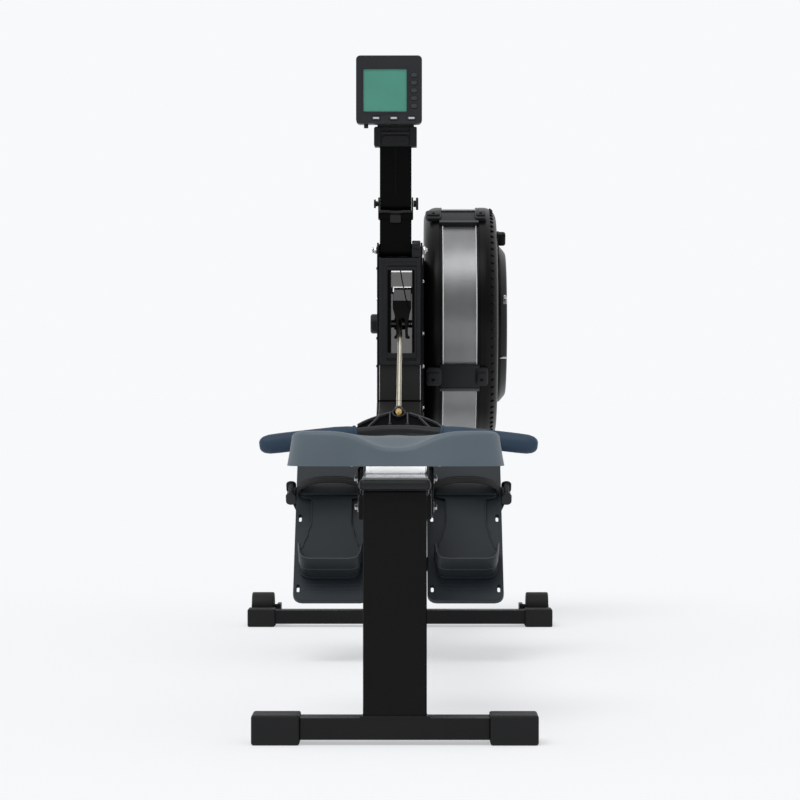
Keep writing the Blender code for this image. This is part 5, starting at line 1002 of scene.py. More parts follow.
def makeCage():
    s = cageShape
    inner = cageHalf("innerShell", s["innerFace"], s["innerRim"], 0.0262)
    stand(inner, "frame", ["cage_inner"])
    outer = cageHalf("outerShell", s["outerFace"], s["outerRim"], 0.1180)
    # Narrow louvres stand round the outer shoulder.
    tooth = slab("tooth", roundRect(0.0072, 0.0036, 0.0010, 3), -0.004, 0.0002, "cageMoulding",
        (0.1832, s["axle"][0] + 0.2316, s["axle"][1]), (0.78, -0.62, 0.0), (0.0, 0.0, 1.0), edge=0.0005,
        steps=2)
    louvres = repeated("louvres", tooth, np.linspace(0, 2 * np.pi, s["louvres"], endpoint=False),
        "cageMoulding")
    spoke = slab("spoke", roundRect(0.066, 0.030, 0.003, 3), 0.1920, 0.1946, "cageMoulding",
        (0.0, s["axle"][0] + 0.089, s["axle"][1]), (0.0, 1.0, 0.0), (0.0, 0.0, 1.0), edge=0.0006)
    spokeRing = repeated("spokes", spoke, np.radians(60.0 * np.arange(6) + 30.0), "cageMoulding")
    cap = lathe("cap", [(0.1918, 0.0262), (0.1948, 0.0262), (0.1948, 0.0600), (0.1918, 0.0600)], s["axle"],
        "cageMoulding", 72, closed=True)
    stand(joined("outerCage", [outer, louvres, spokeRing, cap]), "frame", ["cage_outer"])
    band = lathe("silverBand", [(0.0768, s["bandRadius"] - 0.0014), (0.0768, s["bandRadius"]),
        (0.1557, s["bandRadius"]), (0.1557, s["bandRadius"] - 0.0014)], s["axle"], "bandSheet", s["steps"],
        uvScale=1.0 / s["bandPitch"])
    band.data.polygons.foreach_set("use_smooth", np.ones(len(band.data.polygons), bool))
    stand(band, "frame", ["perforated_band"])
    edges = []
    for x in (s["innerRim"] + 0.0009, s["outerRim"] - 0.0009):
        spin = np.linspace(0, 2 * np.pi, 9)
        edges.append(lathe("bead", np.stack([x + 0.0009 * np.cos(spin[:-1]),
            s["bandRadius"] + 0.0009 + 0.0008 * np.sin(spin[:-1])], -1), s["axle"], "paleTrimAndGapLight",
            s["steps"], closed=True))
    stand(joined("bandEdges", edges), "frame")
    parts, screws = [], []
    for angle in s["clampAngles"]:
        parts.append(arcPlate("strap", 0.0785, 0.1580, s["bandRadius"] + 0.0006, 0.2432, angle, 13.5,
            "darkMoulding"))
        # Twin ridges: the one at +5.9 degrees is painted lighter as a highlight, the other stays dark.
        parts.append(arcPlate("ridge", 0.0790, 0.1575, 0.2425, 0.2450, angle + 5.9, 1.3, "edgeHighlightMoulding", 8))
        parts.append(arcPlate("ridge", 0.0790, 0.1575, 0.2425, 0.2450, angle - 5.9, 1.3, "darkMoulding", 8))
        for low, high in ((0.0510, 0.0830), (0.1500, 0.1745)):
            parts.append(arcPlate("lug", low, high, 0.2376, 0.2468, angle - 1.0, 9.0, "darkMoulding", 12,
                0.25))
            middle = (low + high) / 2.0
            way = np.array([0.0, np.cos(np.radians(angle)), np.sin(np.radians(angle))])
            place = np.array([middle, *s["axle"]]) + way * 0.2494
            screws.append(capScrew("screw", place, way, 0.0036, "cageMoulding"))
            parts.append(arcPlate("step", low + 0.003, high - 0.003, 0.2460, 0.2496, angle - 1.0, 5.0,
                "darkMoulding", 12, 0.3))
    stand(joined("bandClamps", parts), "frame")
    stand(joined("clampScrews", screws), "frame")
    print("cage made")


def makeDamper():
    s = cageShape
    face = s["outerFace"] + 0.0005
    depth, radius = damperShape["depth"], damperShape["radius"]
    line = [(face, 0.0300), (face, 0.0480), (face + depth - 0.003, 0.0580),
        (face + depth - 0.003, radius - 0.020), (face + 0.003, radius - 0.004), (face, radius - 0.004),
        (face, radius), (face + 0.006, radius), (face + depth, radius - 0.016), (face + depth, 0.112),
        (face + depth - 0.0012, 0.110), (face + depth - 0.0012, 0.106), (face + depth, 0.104),
        (face + depth, 0.060), (face + depth - 0.002, 0.056), (face + depth - 0.002, 0.0)]
    profile = roundedProfile(line, 0.006)
    dish = lathe("dish", profile, s["axle"], "cageMoulding", 120)
    # A raised lever runs from the rim out to a thumb tab.
    lean = np.radians(damperShape["leverAngle"])
    parts = [dish]
    arm = slab("lever", roundRect(0.058, 0.020, 0.004), face, face + 0.0042, "cageMoulding",
        (0.0, s["axle"][0] + 0.177, s["axle"][1]), (0.0, 1.0, 0.0), (0.0, 0.0, 1.0), edge=0.0012)
    tab = slab("tab", roundRect(0.0270, 0.0185, 0.0060), face + 0.001, face + 0.0175, "cageMoulding",
        (0.0, s["axle"][0] + 0.1920, s["axle"][1]), (0.0, 1.0, 0.0), (0.0, 0.0, 1.0), edge=0.0048, steps=6)
    for part in (arm, tab):
        moveMesh(part, lambda p: aroundAxle(p, lean))
        parts.append(part)
    vane = slab("vane", roundRect(0.070, 0.0040, 0.0018, 3), face + depth - 0.004, face + depth - 0.0004,
        "cageMoulding", (0.0, s["axle"][0] + 0.100, s["axle"][1]), (0.0, 1.0, 0.0), (0.0, 0.0, 1.0),
        edge=0.0008)
    parts.append(repeated("vanes", vane, np.radians(np.arange(0.0, 360.0, damperShape["vaneStep"])),
        "cageMoulding"))
    stand(joined("damperCover", parts), "damper", ["damper_shutter"])
    # Seen at the rear: a bright seam across the rim, a rivet and the small plate under it.
    seam = arcPlate("seam", face + 0.0040, face + 0.0185, radius - 0.0060, radius - 0.0002, 207.0, 0.45,
        "paleTrimAndGapLight", 4)
    plate = arcPlate("plate", face + 0.0090, face + 0.0186, radius - 0.0120, radius - 0.0060, 164.0, 5.0,
        "zincPlate", 10)
    rivet = capScrew("rivet", (face + 0.0140, s["axle"][0] - 0.1535, s["axle"][1] + 0.0500),
        (0.2, -0.95, 0.3), 0.0042)
    stand(joined("damperTrim", [seam, plate, rivet]), "damper")
    print("damper made")


# Frame: shroud and what shows through its window, head plates, bolts
shroudShape = {
    "window": (-0.017, 0.024, 0.5465, 0.708),
    "face": 0.684,
    "bezel": 0.0085,
    "bezelProud": 0.0016,
    "guideY": 0.930,
    "deck": ((0.405, 0.3752), (0.687, 0.4510)),
    "cable": ((0.0010, 0.7125), (0.0036, 0.696), (0.0078, 0.676), (0.0118, 0.656), (0.0181, 0.635)),
    "panelY": 0.800,
}


def wallPlate(name, low, high, look, edge=0.0008, corner=None):
    # A box between two corners with small round edges; its face looks along Y.
    low, high = np.array(low, float), np.array(high, float)
    size, middle = high - low, (high + low) / 2.0
    limit = min(size[0], size[2]) / 2.0
    radius = min(corner if corner is not None else edge * 1.5, limit * 0.95)
    edge = min(edge, limit * 0.45, size[1] * 0.45)
    return slab(name, roundRect(size[0], size[2], radius, 4), -size[1] / 2.0, size[1] / 2.0, look, middle,
        (1.0, 0.0, 0.0), (0.0, 0.0, 1.0), edge=edge)


def frameOf(name, outer, inner, low, high, look, radius=0.002):
    # A flat picture frame between two rounded rectangles in the XZ plane; local z runs towards the camera.
    rings = []
    for (x0, x1, z0, z1), level, corner in ((outer, low, radius + 0.001), (outer, high, radius),
            (inner, high, radius), (inner, low, radius)):
        flat = roundRect(x1 - x0, z1 - z0, corner, 4) + np.array([(x0 + x1) / 2.0, (z0 + z1) / 2.0])
        rings.append(np.stack([flat[:, 0], np.full(len(flat), level), flat[:, 1]], -1))
    points = np.array(rings)
    return newPiece(name, points.reshape(-1, 3), gridFaces(4, points.shape[1], True, True), look)


def makeShroud():
    s = shroudShape
    x0, x1, z0, z1 = s["window"]
    b = s["bezel"]
    parts = [refined("chain_shroud", "darkMoulding", 0.0008)]
    stand(parts[0], "frame", ["chain_shroud"])
    bezel = frameOf("bezel", (x0 - b, x1 + b, z0 - b * 1.2, z1 + b * 0.8),
        (x0 - 0.001, x1 + 0.001, z0 - 0.001, z1 + 0.001), s["face"] + 0.001, s["face"] - s["bezelProud"],
        "darkMoulding")
    rim = frameOf("rim", (-0.0400, 0.0400, 0.5235, 0.7305), (-0.0335, 0.0335, 0.5290, 0.7245),
        s["face"] + 0.001, s["face"] - 0.0010, "darkMoulding")
    # Near-black reveals beside the window: painted shade in its recessed sides.
    reveal = [wallPlate("reveal", (low, s["face"] - 0.0021, z0), (high, s["face"] - 0.0010, z1),
        "deepBlackAndShade", 0.0002) for low, high in ((x0 - 0.0070, x0 - 0.0006), (x1 + 0.0006, x1 + 0.0048))]
    stand(joined("shroudBezel", [bezel, rim] + reveal), "frame")
    back = [wallPlate("back", (-0.0385, 1.0300, 0.500), (0.0385, 1.0325, 0.735), "insideGrey", 0.0004)]
    for x in (-0.0392, 0.0392):
        back.append(wallPlate("cheek", (x - 0.0006, 0.730, 0.500), (x + 0.0006, 1.029, 0.735),
            "insideGrey", 0.0003))
    p = s["panelY"]
    back.append(wallPlate("upper", (-0.0380, p, 0.6785), (0.0380, p + 0.002, 0.7300), "insideGrey", 0.0004))
    # Bright plates where gaps in the frame let the white backdrop show through: painted light.
    bright = [wallPlate(name, (x0, p - 0.0020, z0), (x1, p + proud, z1), "paleTrimAndGapLight", 0.0003)
        for name, x0, x1, z0, z1, proud in (("strip", -0.0300, 0.0360, 0.7085, 0.7120, 0.0),
        ("shelf", -0.0140, 0.0222, 0.6775, 0.6797, 0.0010), ("tick", -0.0140, -0.0118, 0.6690, 0.6790, 0.0))]
    stand(joined("insideWall", back), "frame")
    stand(joined("paleTrimAndGapLight", bright), "frame")
    # The guide over the chain: a bell with two legs whose feet turn out.
    bell = np.array([(-0.0150, 0.6560), (0.0225, 0.6560), (0.0225, 0.6400), (0.0190, 0.6280),
        (0.0160, 0.6100), (0.0155, 0.5860), (0.0200, 0.5830), (0.0195, 0.5785), (0.0105, 0.5790),
        (0.0100, 0.6050), (0.0085, 0.6200), (-0.0010, 0.6200), (-0.0025, 0.6050), (-0.0030, 0.5790),
        (-0.0120, 0.5785), (-0.0125, 0.5830), (-0.0080, 0.5860), (-0.0085, 0.6100), (-0.0115, 0.6280),
        (-0.0150, 0.6400)])
    bell = roundedProfile(np.vstack([bell, bell[:1]]), 0.004, 4)[:-1]
    guide = slab("guide", bell[::-1], -0.010, 0.010, "deepBlackAndShade", (0.0, s["guideY"], 0.0), (1, 0, 0),
        (0, 0, 1), 0.001)
    box = wallPlate("box", (-0.0142, s["guideY"] - 0.004, 0.6540), (0.0222, s["guideY"] + 0.004, 0.6790),
        "darkMoulding", 0.0008)
    stand(joined("chainGuide", [guide, box]), "frame")
    line = np.array(s["cable"])
    t = np.linspace(0.0, 1.0, 40)
    knots = np.linspace(0.0, 1.0, len(line))
    path = np.stack([np.interp(t, knots, line[:, 0]), np.full(40, s["panelY"] - 0.0045),
        np.interp(t, knots, line[:, 1])], -1)
    path[1:-1] = (path[:-2] + path[1:-1] * 2 + path[2:]) / 4.0
    cable = sweep("speedCable", path, ring(0.0011, 10), "deepBlackAndShade", side=(0, 1, 0))
    stand(cable, "frame")
    # Panel under the shroud, bright zinc strips as painted highlights on the rounded edges of the frame tube,
    # and a plate between frame and cage.
    panel = wallPlate("panel", (-0.0396, 0.6890, 0.4535), (0.0396, 0.6915, 0.5225), "panelCoat", 0.0004)
    low, high = np.array(s["deck"][0]), np.array(s["deck"][1])
    span = np.linalg.norm(high - low)
    slope = (0.0, *((high - low) / span))
    deck = slab("deck", roundRect(0.0792, span, 0.002), -0.0012, 0.0, "panelCoat",
        (0.0, *((low + high) / 2.0)), (1, 0, 0), slope, 0.0003)
    stand(joined("frontCover", [panel, deck]), "frame")
    # Painted highlights: thin bright zinc strips on the tube's edges.
    edges = [wallPlate("edge", (x - 0.0008, 0.6868, 0.4540), (x + 0.0008, 0.6876, 0.5220), "zincPlate",
        0.0002) for x in (-0.0395, 0.0403)]
    edges += [slab("edge", roundRect(0.0016, span * 0.42, 0.0004), 0.0, 0.0006, "zincPlate",
        (x, *(low + (high - low) * 0.78)), (1, 0, 0), slope, 0.0002) for x in (-0.0395, 0.0403)]
    stand(joined("plateEdgeHighlights", edges), "frame")
    spacer = slab("spacer", np.array([(0.745, 0.430), (0.860, 0.388), (0.935, 0.380), (0.935, 0.692),
        (0.870, 0.697), (0.745, 0.735)]), 0.0449, 0.0477, "powderCoat", (0, 0, 0), (0, 1, 0), (0, 0, 1),
        0.0006)
    stand(spacer, "frame")
    bolts = []
    for z in (0.7120, 0.5750, 0.5206):
        bolts.append(capScrew("bolt", (-0.0446, 0.7060, z), (-1, 0, 0), 0.0030, "darkMoulding"))
    stand(joined("sideBolts", bolts), "frame")
    bright = []
    for x, z in ((0.0500, 0.6870), (0.0500, 0.5850), (0.0470, 0.5200), (0.0470, 0.4395)):
        y = 0.720 if x > 0.048 else 0.700
        bright.append(hexBolt("bolt", (0.0446, y, z), (1, 0, 0), 0.0052, tall=0.5))
    for y, z in ((0.10, 0.205), (0.28, 0.235), (0.42, 0.330), (0.60, 0.300), (0.84, 0.360), (0.97, 0.660)):
        for side in (-1.0, 1.0):
            bright.append(hexBolt("bolt", (side * 0.0446, y, z), (side, 0, 0), 0.0062, tall=0.5))
    stand(joined("frameBolts", bright), "frame")
    print("shroud made")


# Chain: real links on the pull, and the same links folded round the inside run
chainShape = {
    "tail": (0.17534, 0.4401),
    "top": (0.97205, 0.62684),
    "pitch": 0.00635,
    "halfWidth": 0.0044,
    "plateHeight": 0.0030,
    "plateThick": 0.0009,
    "axle": (0.976, 0.610),
    "wrap": 0.0173,
    "pulley": (0.346, 0.250),
    "pulleyWrap": 0.0253,
    "bottom": (0.98369, 0.5945),
    "pulleyTop": (0.33476, 0.27267),
    "end": (0.466, 0.2257),
}


def chainLinks(name, path):
    # Two figure-eight plates and a roller for each pitch; plates alternate wide and narrow.
    s = chainShape
    path = np.asarray(path, float)
    step = np.linalg.norm(np.diff(path, axis=0), axis=1)
    run = np.r_[0.0, np.cumsum(step)]
    count = int(run[-1] / s["pitch"])
    at = np.arange(count + 1) * run[-1] / count
    pins = np.stack([np.interp(at, run, path[:, 0]), np.interp(at, run, path[:, 1])], -1)
    angle = np.linspace(-np.pi / 2.0, np.pi / 2.0, 5)
    half = s["plateHeight"] / 2.0 * 1.9
    pitch = run[-1] / count
    cap = np.stack([np.cos(angle) * half / 1.9 * 1.15, np.sin(angle) * half / 1.9 * 1.15], -1)
    outline = np.vstack([cap + [pitch, 0.0], [[pitch / 2.0, half * 0.42]], -cap,
        [[pitch / 2.0, -half * 0.42]]])
    flats = len(outline)
    points, faces = [], []
    base = 0
    roller = ring(0.00165, 6)
    for i in range(count):
        a, b = pins[i], pins[i + 1]
        way = (b - a) / np.linalg.norm(b - a)
        up = np.array([-way[1], way[0]])
        flat = a + outline[:, 0:1] * way + outline[:, 1:2] * up
        reach = s["halfWidth"] * (0.86 if i % 2 else 0.62)
        for side in (-1.0, 1.0):
            for x in (side * reach, side * (reach - s["plateThick"])):
                points.append(np.c_[np.full(flats, x), flat])
            grid = gridFaces(2, flats, aroundColumns=True) + base
            faces += grid.tolist() + [list(range(base, base + flats)),
                list(range(base + flats, base + 2 * flats))]
            base += 2 * flats
        drum = a + roller
        width = s["halfWidth"]
        points += [np.c_[np.full(6, -width), drum], np.c_[np.full(6, width), drum]]
        faces += (gridFaces(2, 6, aroundColumns=True) + base).tolist()
        faces += [list(range(base, base + 6)), list(range(base + 6, base + 12))]
        base += 12
    return newPiece(name, np.vstack(points), faces, "chainSteel", smooth=False)


def makeChain():
    s = chainShape
    tail, top = np.array(s["tail"]), np.array(s["top"])
    run = chainLinks("pullingChain", [tail, top])
    axle, pulley = np.array(s["axle"]), np.array(s["pulley"])
    first = np.arctan2(*(top - axle)[::-1])
    last = np.arctan2(*(np.array(s["bottom"]) - axle)[::-1])
    over = np.linspace(first, last, 30)
    wrap = axle + s["wrap"] * np.stack([np.cos(over), np.sin(over)], -1)
    start = np.arctan2(*(np.array(s["pulleyTop"]) - pulley)[::-1])
    under = np.linspace(start, 1.5 * np.pi, 40)
    turn = pulley + s["pulleyWrap"] * np.stack([np.cos(under), np.sin(under)], -1)
    inside = chainLinks("returningChain", np.vstack([wrap, turn, [s["end"]]]))
    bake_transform(run)
    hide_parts("drive_chain")
    stand(inside, "frame")
    print("chain made")


# Footboards, foot plates, straps and buckles, in the board's own across, along and above
footShape = {
    "low": (-0.004, 0.110),
    "slope": (0.682, 0.7314),
    "inner": 0.050,
    "outer": 0.182,
    "middle": 0.1185,
    "strapAlong": 0.247,
    "strapWidth": 0.024,
    "strapHalf": 0.0608,
    "buckleAcross": 0.1915,
    "strapRise": 0.0340,
    "strapLean": 0.34,
    "heel": 0.046,
    "toe": 0.260,
    "cupEnd": 0.104,
    "heelHeight": 0.0558,
    "cupEndHeight": 0.0298,
}
footLine = ((0.046, 0.0468, 0.0485, 0.0515, 0.056, 0.068, 0.104, 0.118, 0.145, 0.171, 0.226, 0.231, 0.236,
    0.244, 0.253, 0.2575, 0.260), (0.0330, 0.0392, 0.0445, 0.0485, 0.0515, 0.0545, 0.057, 0.050, 0.0425,
    0.037, 0.037, 0.0535, 0.0562, 0.0563, 0.0485, 0.0405, 0.034))


def onBoard(points):
    s = footShape
    c, sn = s["slope"]
    y = s["low"][0] + points[:, 1] * c - points[:, 2] * sn
    z = s["low"][1] + points[:, 1] * sn + points[:, 2] * c
    return np.stack([points[:, 0], y, z], -1)


def mirrorOf(obj, name):
    twin = bpy.data.objects.new(name, obj.data.copy())
    bpy.context.scene.collection.objects.link(twin)
    moveMesh(twin, lambda p: p * np.array([-1.0, 1.0, 1.0]))
    twin.data.flip_normals()
    return twin


def boardLine(name, along, rise, width, bow=0.0, reach=0.058):
    # A raised line across the board, bowed down in its middle.
    x = np.linspace(-reach, reach, 41)
    middle = (footShape["inner"] + footShape["outer"]) / 2.0
    path = np.stack([middle + x, along - bow * (1.0 - (x / reach) ** 2), np.full(41, 0.0)], -1)
    section = roundRect(width, rise * 2.0, min(width, rise * 2.0) * 0.45, 3)
    obj = sweep(name, path, section[:, ::-1], "boardMoulding", side=(0, 0, 1))
    moveMesh(obj, onBoard)
    return obj


def footHalf(along):
    a, w = np.array(footLine[0]), np.array(footLine[1])
    i = np.clip(np.searchsorted(a, along) - 1, 0, len(a) - 2)
    share = np.clip((along - a[i]) / (a[i + 1] - a[i]), 0.0, 1.0)
    return w[i] + (w[i + 1] - w[i]) * share ** 2 * (3.0 - 2.0 * share)


def footOutline(low, high, grow=0.0, steps=90):
    # The plate's outline between two stations, closed by the rounded heel and toe.
    t = 0.5 - 0.5 * np.cos(np.linspace(0.0, np.pi, steps))
    along = low + (high - low) * t
    half = footHalf(along) + grow
    right = np.stack([footShape["middle"] + half, along], -1)
    left = np.stack([footShape["middle"] - half, along], -1)[::-1]
    return np.vstack([right, left])


def makeFootPlate():
    s, m = footShape, footShape["middle"]
    heel, toe, cupEnd = s["heel"], s["toe"], s["cupEnd"]
    parts = [slab("sole", footOutline(heel + 0.0004, toe - 0.0006, -0.0004), 0.0003, 0.0062,
        "plateMoulding", edge=0.0012)]
    # Raised edge of the narrow part.
    for side in (-1.0, 1.0):
        along = np.linspace(cupEnd + 0.004, 0.229, 60)
        path = np.stack([m + side * (footHalf(along) - 0.0022), along, np.full(60, 0.0064)], -1)
        parts.append(sweep("edge", path, roundRect(0.0024, 0.0026, 0.0010, 3)[:, ::-1], "plateMoulding",
            side=(0, 0, 1)))
    # Heel cup: a wall that stands on the outline; a broad upper band stands proud of a lower one.
    right = heel + (cupEnd - heel) * np.linspace(0.0, 1.0, 60) ** 1.8
    half = footHalf(right)
    rear = np.linspace(-1.0, 1.0, 31)[1:-1] * half[0]
    across = np.r_[-half[::-1], rear, half]
    along = np.r_[right[::-1], np.full(len(rear), heel), right]
    line = np.stack([across, along], -1)
    for _ in range(6):
        line[1:-1] = (line[:-2] + 2.0 * line[1:-1] + line[2:]) / 4.0
    way = np.gradient(line, axis=0)
    way /= np.linalg.norm(way, axis=1)[:, None]
    normal = np.stack([way[:, 1], -way[:, 0]], -1)
    fall = np.clip((line[:, 1] - heel) / (cupEnd - heel), 0.0, 1.0)
    height = s["heelHeight"] - (s["heelHeight"] - s["cupEndHeight"]) * fall ** 2
    line = line + np.array([m, 0.0])
    rings = []
    for inset, share in ((0.0024, 0.09), (0.0022, 0.40), (0.0018, 0.45), (0.0006, 0.47), (0.0002, 0.50),
            (0.0002, 0.95), (0.0006, 0.985), (0.0014, 1.0), (0.0034, 1.0), (0.0042, 0.985), (0.0046, 0.95),
            (0.0052, 0.50), (0.0060, 0.09)):
        rings.append(np.c_[line - normal * inset, height * share])
    rings = np.array(rings)
    faces = gridFaces(len(rings), len(line), aroundRows=True).tolist()
    count = len(line)
    faces += [[r * count for r in range(len(rings))], [r * count + count - 1 for r in range(len(rings))]]
    parts.append(newPiece("cup", rings.reshape(-1, 3), faces, "plateMoulding"))
    # Painted highlights along the rim of the cup and along its step.
    for inset, share, look in ((0.0013, 1.0, "edgeHighlightMoulding"), (0.0004, 0.485, "edgeHighlightMoulding")):
        path = np.c_[line - normal * inset, height * share]
        first, last = (0, len(line)) if share == 1.0 else (24, len(line) - 24)
        parts.append(sweep("edge", path[first:last], roundRect(0.0012, 0.0010, 0.0004, 3), look,
            side=(0, 0, 1)))
    # Toe piece: a domed bar across the top, wider than the sole below it.
    outline = footOutline(0.2322, toe - 0.0014, -0.0012, 50)
    parts.append(slab("toe", outline, 0.0055, 0.0118, "plateMoulding", edge=0.0030, steps=6))
    for part in parts:
        moveMesh(part, onBoard)
    return joined("footPlateRight", parts)


def makeFeet():
    s = footShape
    for label in ("right", "left"):
        standRefined("footboard_" + label, "boardMoulding", 0.0016, "frame", 3)
    lines = [boardLine("line", along, 0.0007, 0.0016) for along in (0.318, 0.327, 0.336)]
    lines += [boardLine("line", 0.038 - 0.007 * i, 0.0002, 0.0022, bow=0.003 + 0.001 * i,
        reach=0.058 - 0.002 * i) for i in range(3)]
    right = joined("boardLinesRight", lines)
    stand(mirrorOf(right, "boardLinesLeft"), "frame")
    stand(right, "frame")
    plate = makeFootPlate()
    twin = mirrorOf(plate, "footPlateLeft")
    stand(plate, "foot_plate_right", ["flexfoot_right"])
    stand(twin, "foot_plate_left", ["flexfoot_left"])
    # Strap: down through the inner slot, over the foot in a flat arch, and into the buckle.
    t = np.linspace(-1.0, 1.0, 73)
    middle, half = s["middle"], s["strapHalf"]
    x = middle + half * np.sign(t) * np.abs(t) ** 0.86
    above = 0.012 + (s["strapRise"] - 0.012) * (1.0 - np.abs(t) ** 2.4)
    drop = np.clip((np.abs(t) - 0.93) / 0.07, 0.0, 1.0) ** 2
    above = above * (1.0 - 0.96 * drop) + 0.0006
    path = np.stack([x, np.full(73, s["strapAlong"]), above], -1)
    band = roundRect(s["strapWidth"], 0.0022, 0.0009, 3)
    run = np.r_[0.0, np.cumsum(np.linalg.norm(np.diff(path, axis=0), axis=1))]
    uv = np.stack([np.repeat(run[:, None], len(band), 1), np.repeat(band[None, :, 0], len(path), 0)], -1)
    lean = (0.0, np.sqrt(1.0 - s["strapLean"] ** 2), -s["strapLean"])
    strap = sweep("strapRight", path, band, "webbing", side=lean, uv=uv)
    moveMesh(strap, onBoard)
    lip = []
    for shift in (-0.0098, -0.0034, 0.0034, 0.0098):
        seam = path + np.array([0.0, shift * lean[1], shift * lean[2] + 0.0013])
        lip.append(sweep("seam", seam[3:-3], roundRect(0.0012, 0.0008, 0.0003, 2), "webbing", side=lean))
    seams = joined("strapSeamsRight", lip)
    moveMesh(seams, onBoard)
    for obj, other in ((strap, "strapLeft"), (seams, "strapSeamsLeft")):
        swap = ["foot_strap_left"] if obj is strap else []
        stand(mirrorOf(obj, other), "frame", swap)
        stand(obj, "frame", [n.replace("left", "right") for n in swap])
    # Buckle: a frame at the board's edge with a cam and a loose strap end.
    parts = []
    flank = roundRect(0.0180, 0.0300, 0.0085, 8) + np.array([0.0, 0.0020])
    across = s["buckleAcross"]
    for low in (-0.0155, 0.0125):
        parts.append(slab("side", flank, low, low + 0.003, "darkMoulding", (across, 0.0, 0.0), (1, 0, 0),
            (0, 0, 1), 0.0008))
    parts.append(slab("bar", ring(0.0045, 20), -0.0130, 0.0130, "darkMoulding", (across, 0.0, 0.011),
        (1, 0, 0), (0, 0, 1), 0.0008))
    parts.append(slab("cam", roundRect(0.0130, 0.0250, 0.0050), -0.0122, 0.0122, "darkMoulding",
        (0.1905, 0.0, -0.004), (0.94, 0, 0.34), (-0.34, 0, 0.94), 0.0010))
    parts.append(slab("tongue", roundRect(0.0030, 0.0300, 0.0012, 3), -0.0128, 0.0128, "webbing",
        (0.1860, 0.0, -0.018), (0.96, 0, -0.28), (0.28, 0, 0.96), 0.0006))
    for part in parts:
        # Local across, along, above; the long side stands up the board's back edge.
        moveMesh(part, lambda p: onBoard(np.stack([p[:, 0], s["strapAlong"] + p[:, 1], p[:, 2] - 0.004],
            -1)))
    buckle = joined("buckleRight", parts)
    stand(mirrorOf(buckle, "buckleLeft"), "frame", ["strap_buckle_left"])
    stand(buckle, "frame", ["strap_buckle_right"])
    print("feet made")


# Monitor, its folding arm and the screws that hold them
topShape = {
    "station": 0.711,
    "pivot": 0.748,
    "fold": 0.839,
    "armSides": (-0.039, 0.023),
    "case": (-0.085, 0.0434, 0.9917, 1.1247),
    "face": 0.662,
    "depth": 0.030,
    "screen": (-0.0714, 0.0142, 1.0147, 1.0984),
}


def turnedKnob(name, low, high, radius, height, look, edge=0.0010, station=None, steps=32):
    y = topShape["station"] if station is None else station
    return slab(name, ring(radius, steps), low, high, look, (0.0, y, height), (0, 1, 0), (0, 0, 1),
        edge=edge)


def makeMonitor():
    s = topShape
    case = refined("monitor_case", "monitorMoulding", 0.0008, 2)
    stand(case, "monitor", ["monitor_case"])
    x0, x1, z0, z1 = s["screen"]
    bezel = frameOf("screenFrame", (x0 - 0.0028, x1 + 0.0028, z0 - 0.0028, z1 + 0.0028),
        (x0 + 0.0006, x1 - 0.0006, z0 + 0.0006, z1 - 0.0006), s["face"] + 0.0004, s["face"] - 0.0005,
        "monitorMoulding", 0.0015)
    seam = frameOf("caseSeam", (s["case"][0] + 0.0002, s["case"][1] - 0.0002, s["case"][2] + 0.0002,
        s["case"][3] - 0.0002), (s["case"][0] + 0.0014, s["case"][1] - 0.0014, s["case"][2] + 0.0014,
        s["case"][3] - 0.0014), s["face"] + 0.0184, s["face"] + 0.0168, "powderCoat", 0.007)
    stand(joined("monitorTrim", [bezel, seam]), "monitor")
    glass = refined("monitor_screen", "greenDisplay", 0.0004)
    stand(glass, "monitor", ["monitor_screen"])
    stub = slab("plug", roundRect(0.0085, 0.0070, 0.002), -0.0045, 0.0045, "darkMoulding",
        (-0.0655, 0.678, 0.9887), (1, 0, 0), (0, 1, 0), 0.0008)
    ribs = [slab("rib", roundRect(0.094, 0.0016, 0.0006, 3), -0.0006, 0.0012, "monitorMoulding",
        (-0.0208, 0.6922, z), (1, 0, 0), (0, 0, -1), 0.0003) for z in (1.060, 1.070, 1.080, 1.090, 1.100)]
    lid = wallPlate("lid", (-0.060, 0.6916, 1.048), (0.018, 0.6934, 1.110), "monitorMoulding", 0.0006,
        0.004)
    stand(joined("monitorBack", [stub, lid] + ribs), "monitor")
    for i in range(1, 6):
        standRefined("key_side_%d" % i, "keyRubber", 0.0009, "key_side_%d_body" % i)
    for i in range(1, 4):
        name = "key_bottom_%d" % i
        standRefined(name, "keyRubber", 0.0009, name + "_body")
        x = -0.0461 + 0.0345 * (i - 1)
        mark = slab("mark", roundRect(0.0118, 0.0032, 0.0014, 5), -0.0001, 0.00012, "paleMark",
            (x, 0.6605, 1.0027), (1, 0, 0), (0, 0, 1), 0.00005, steps=2)
        stand(mark, name + "_body")
    print("monitor made")


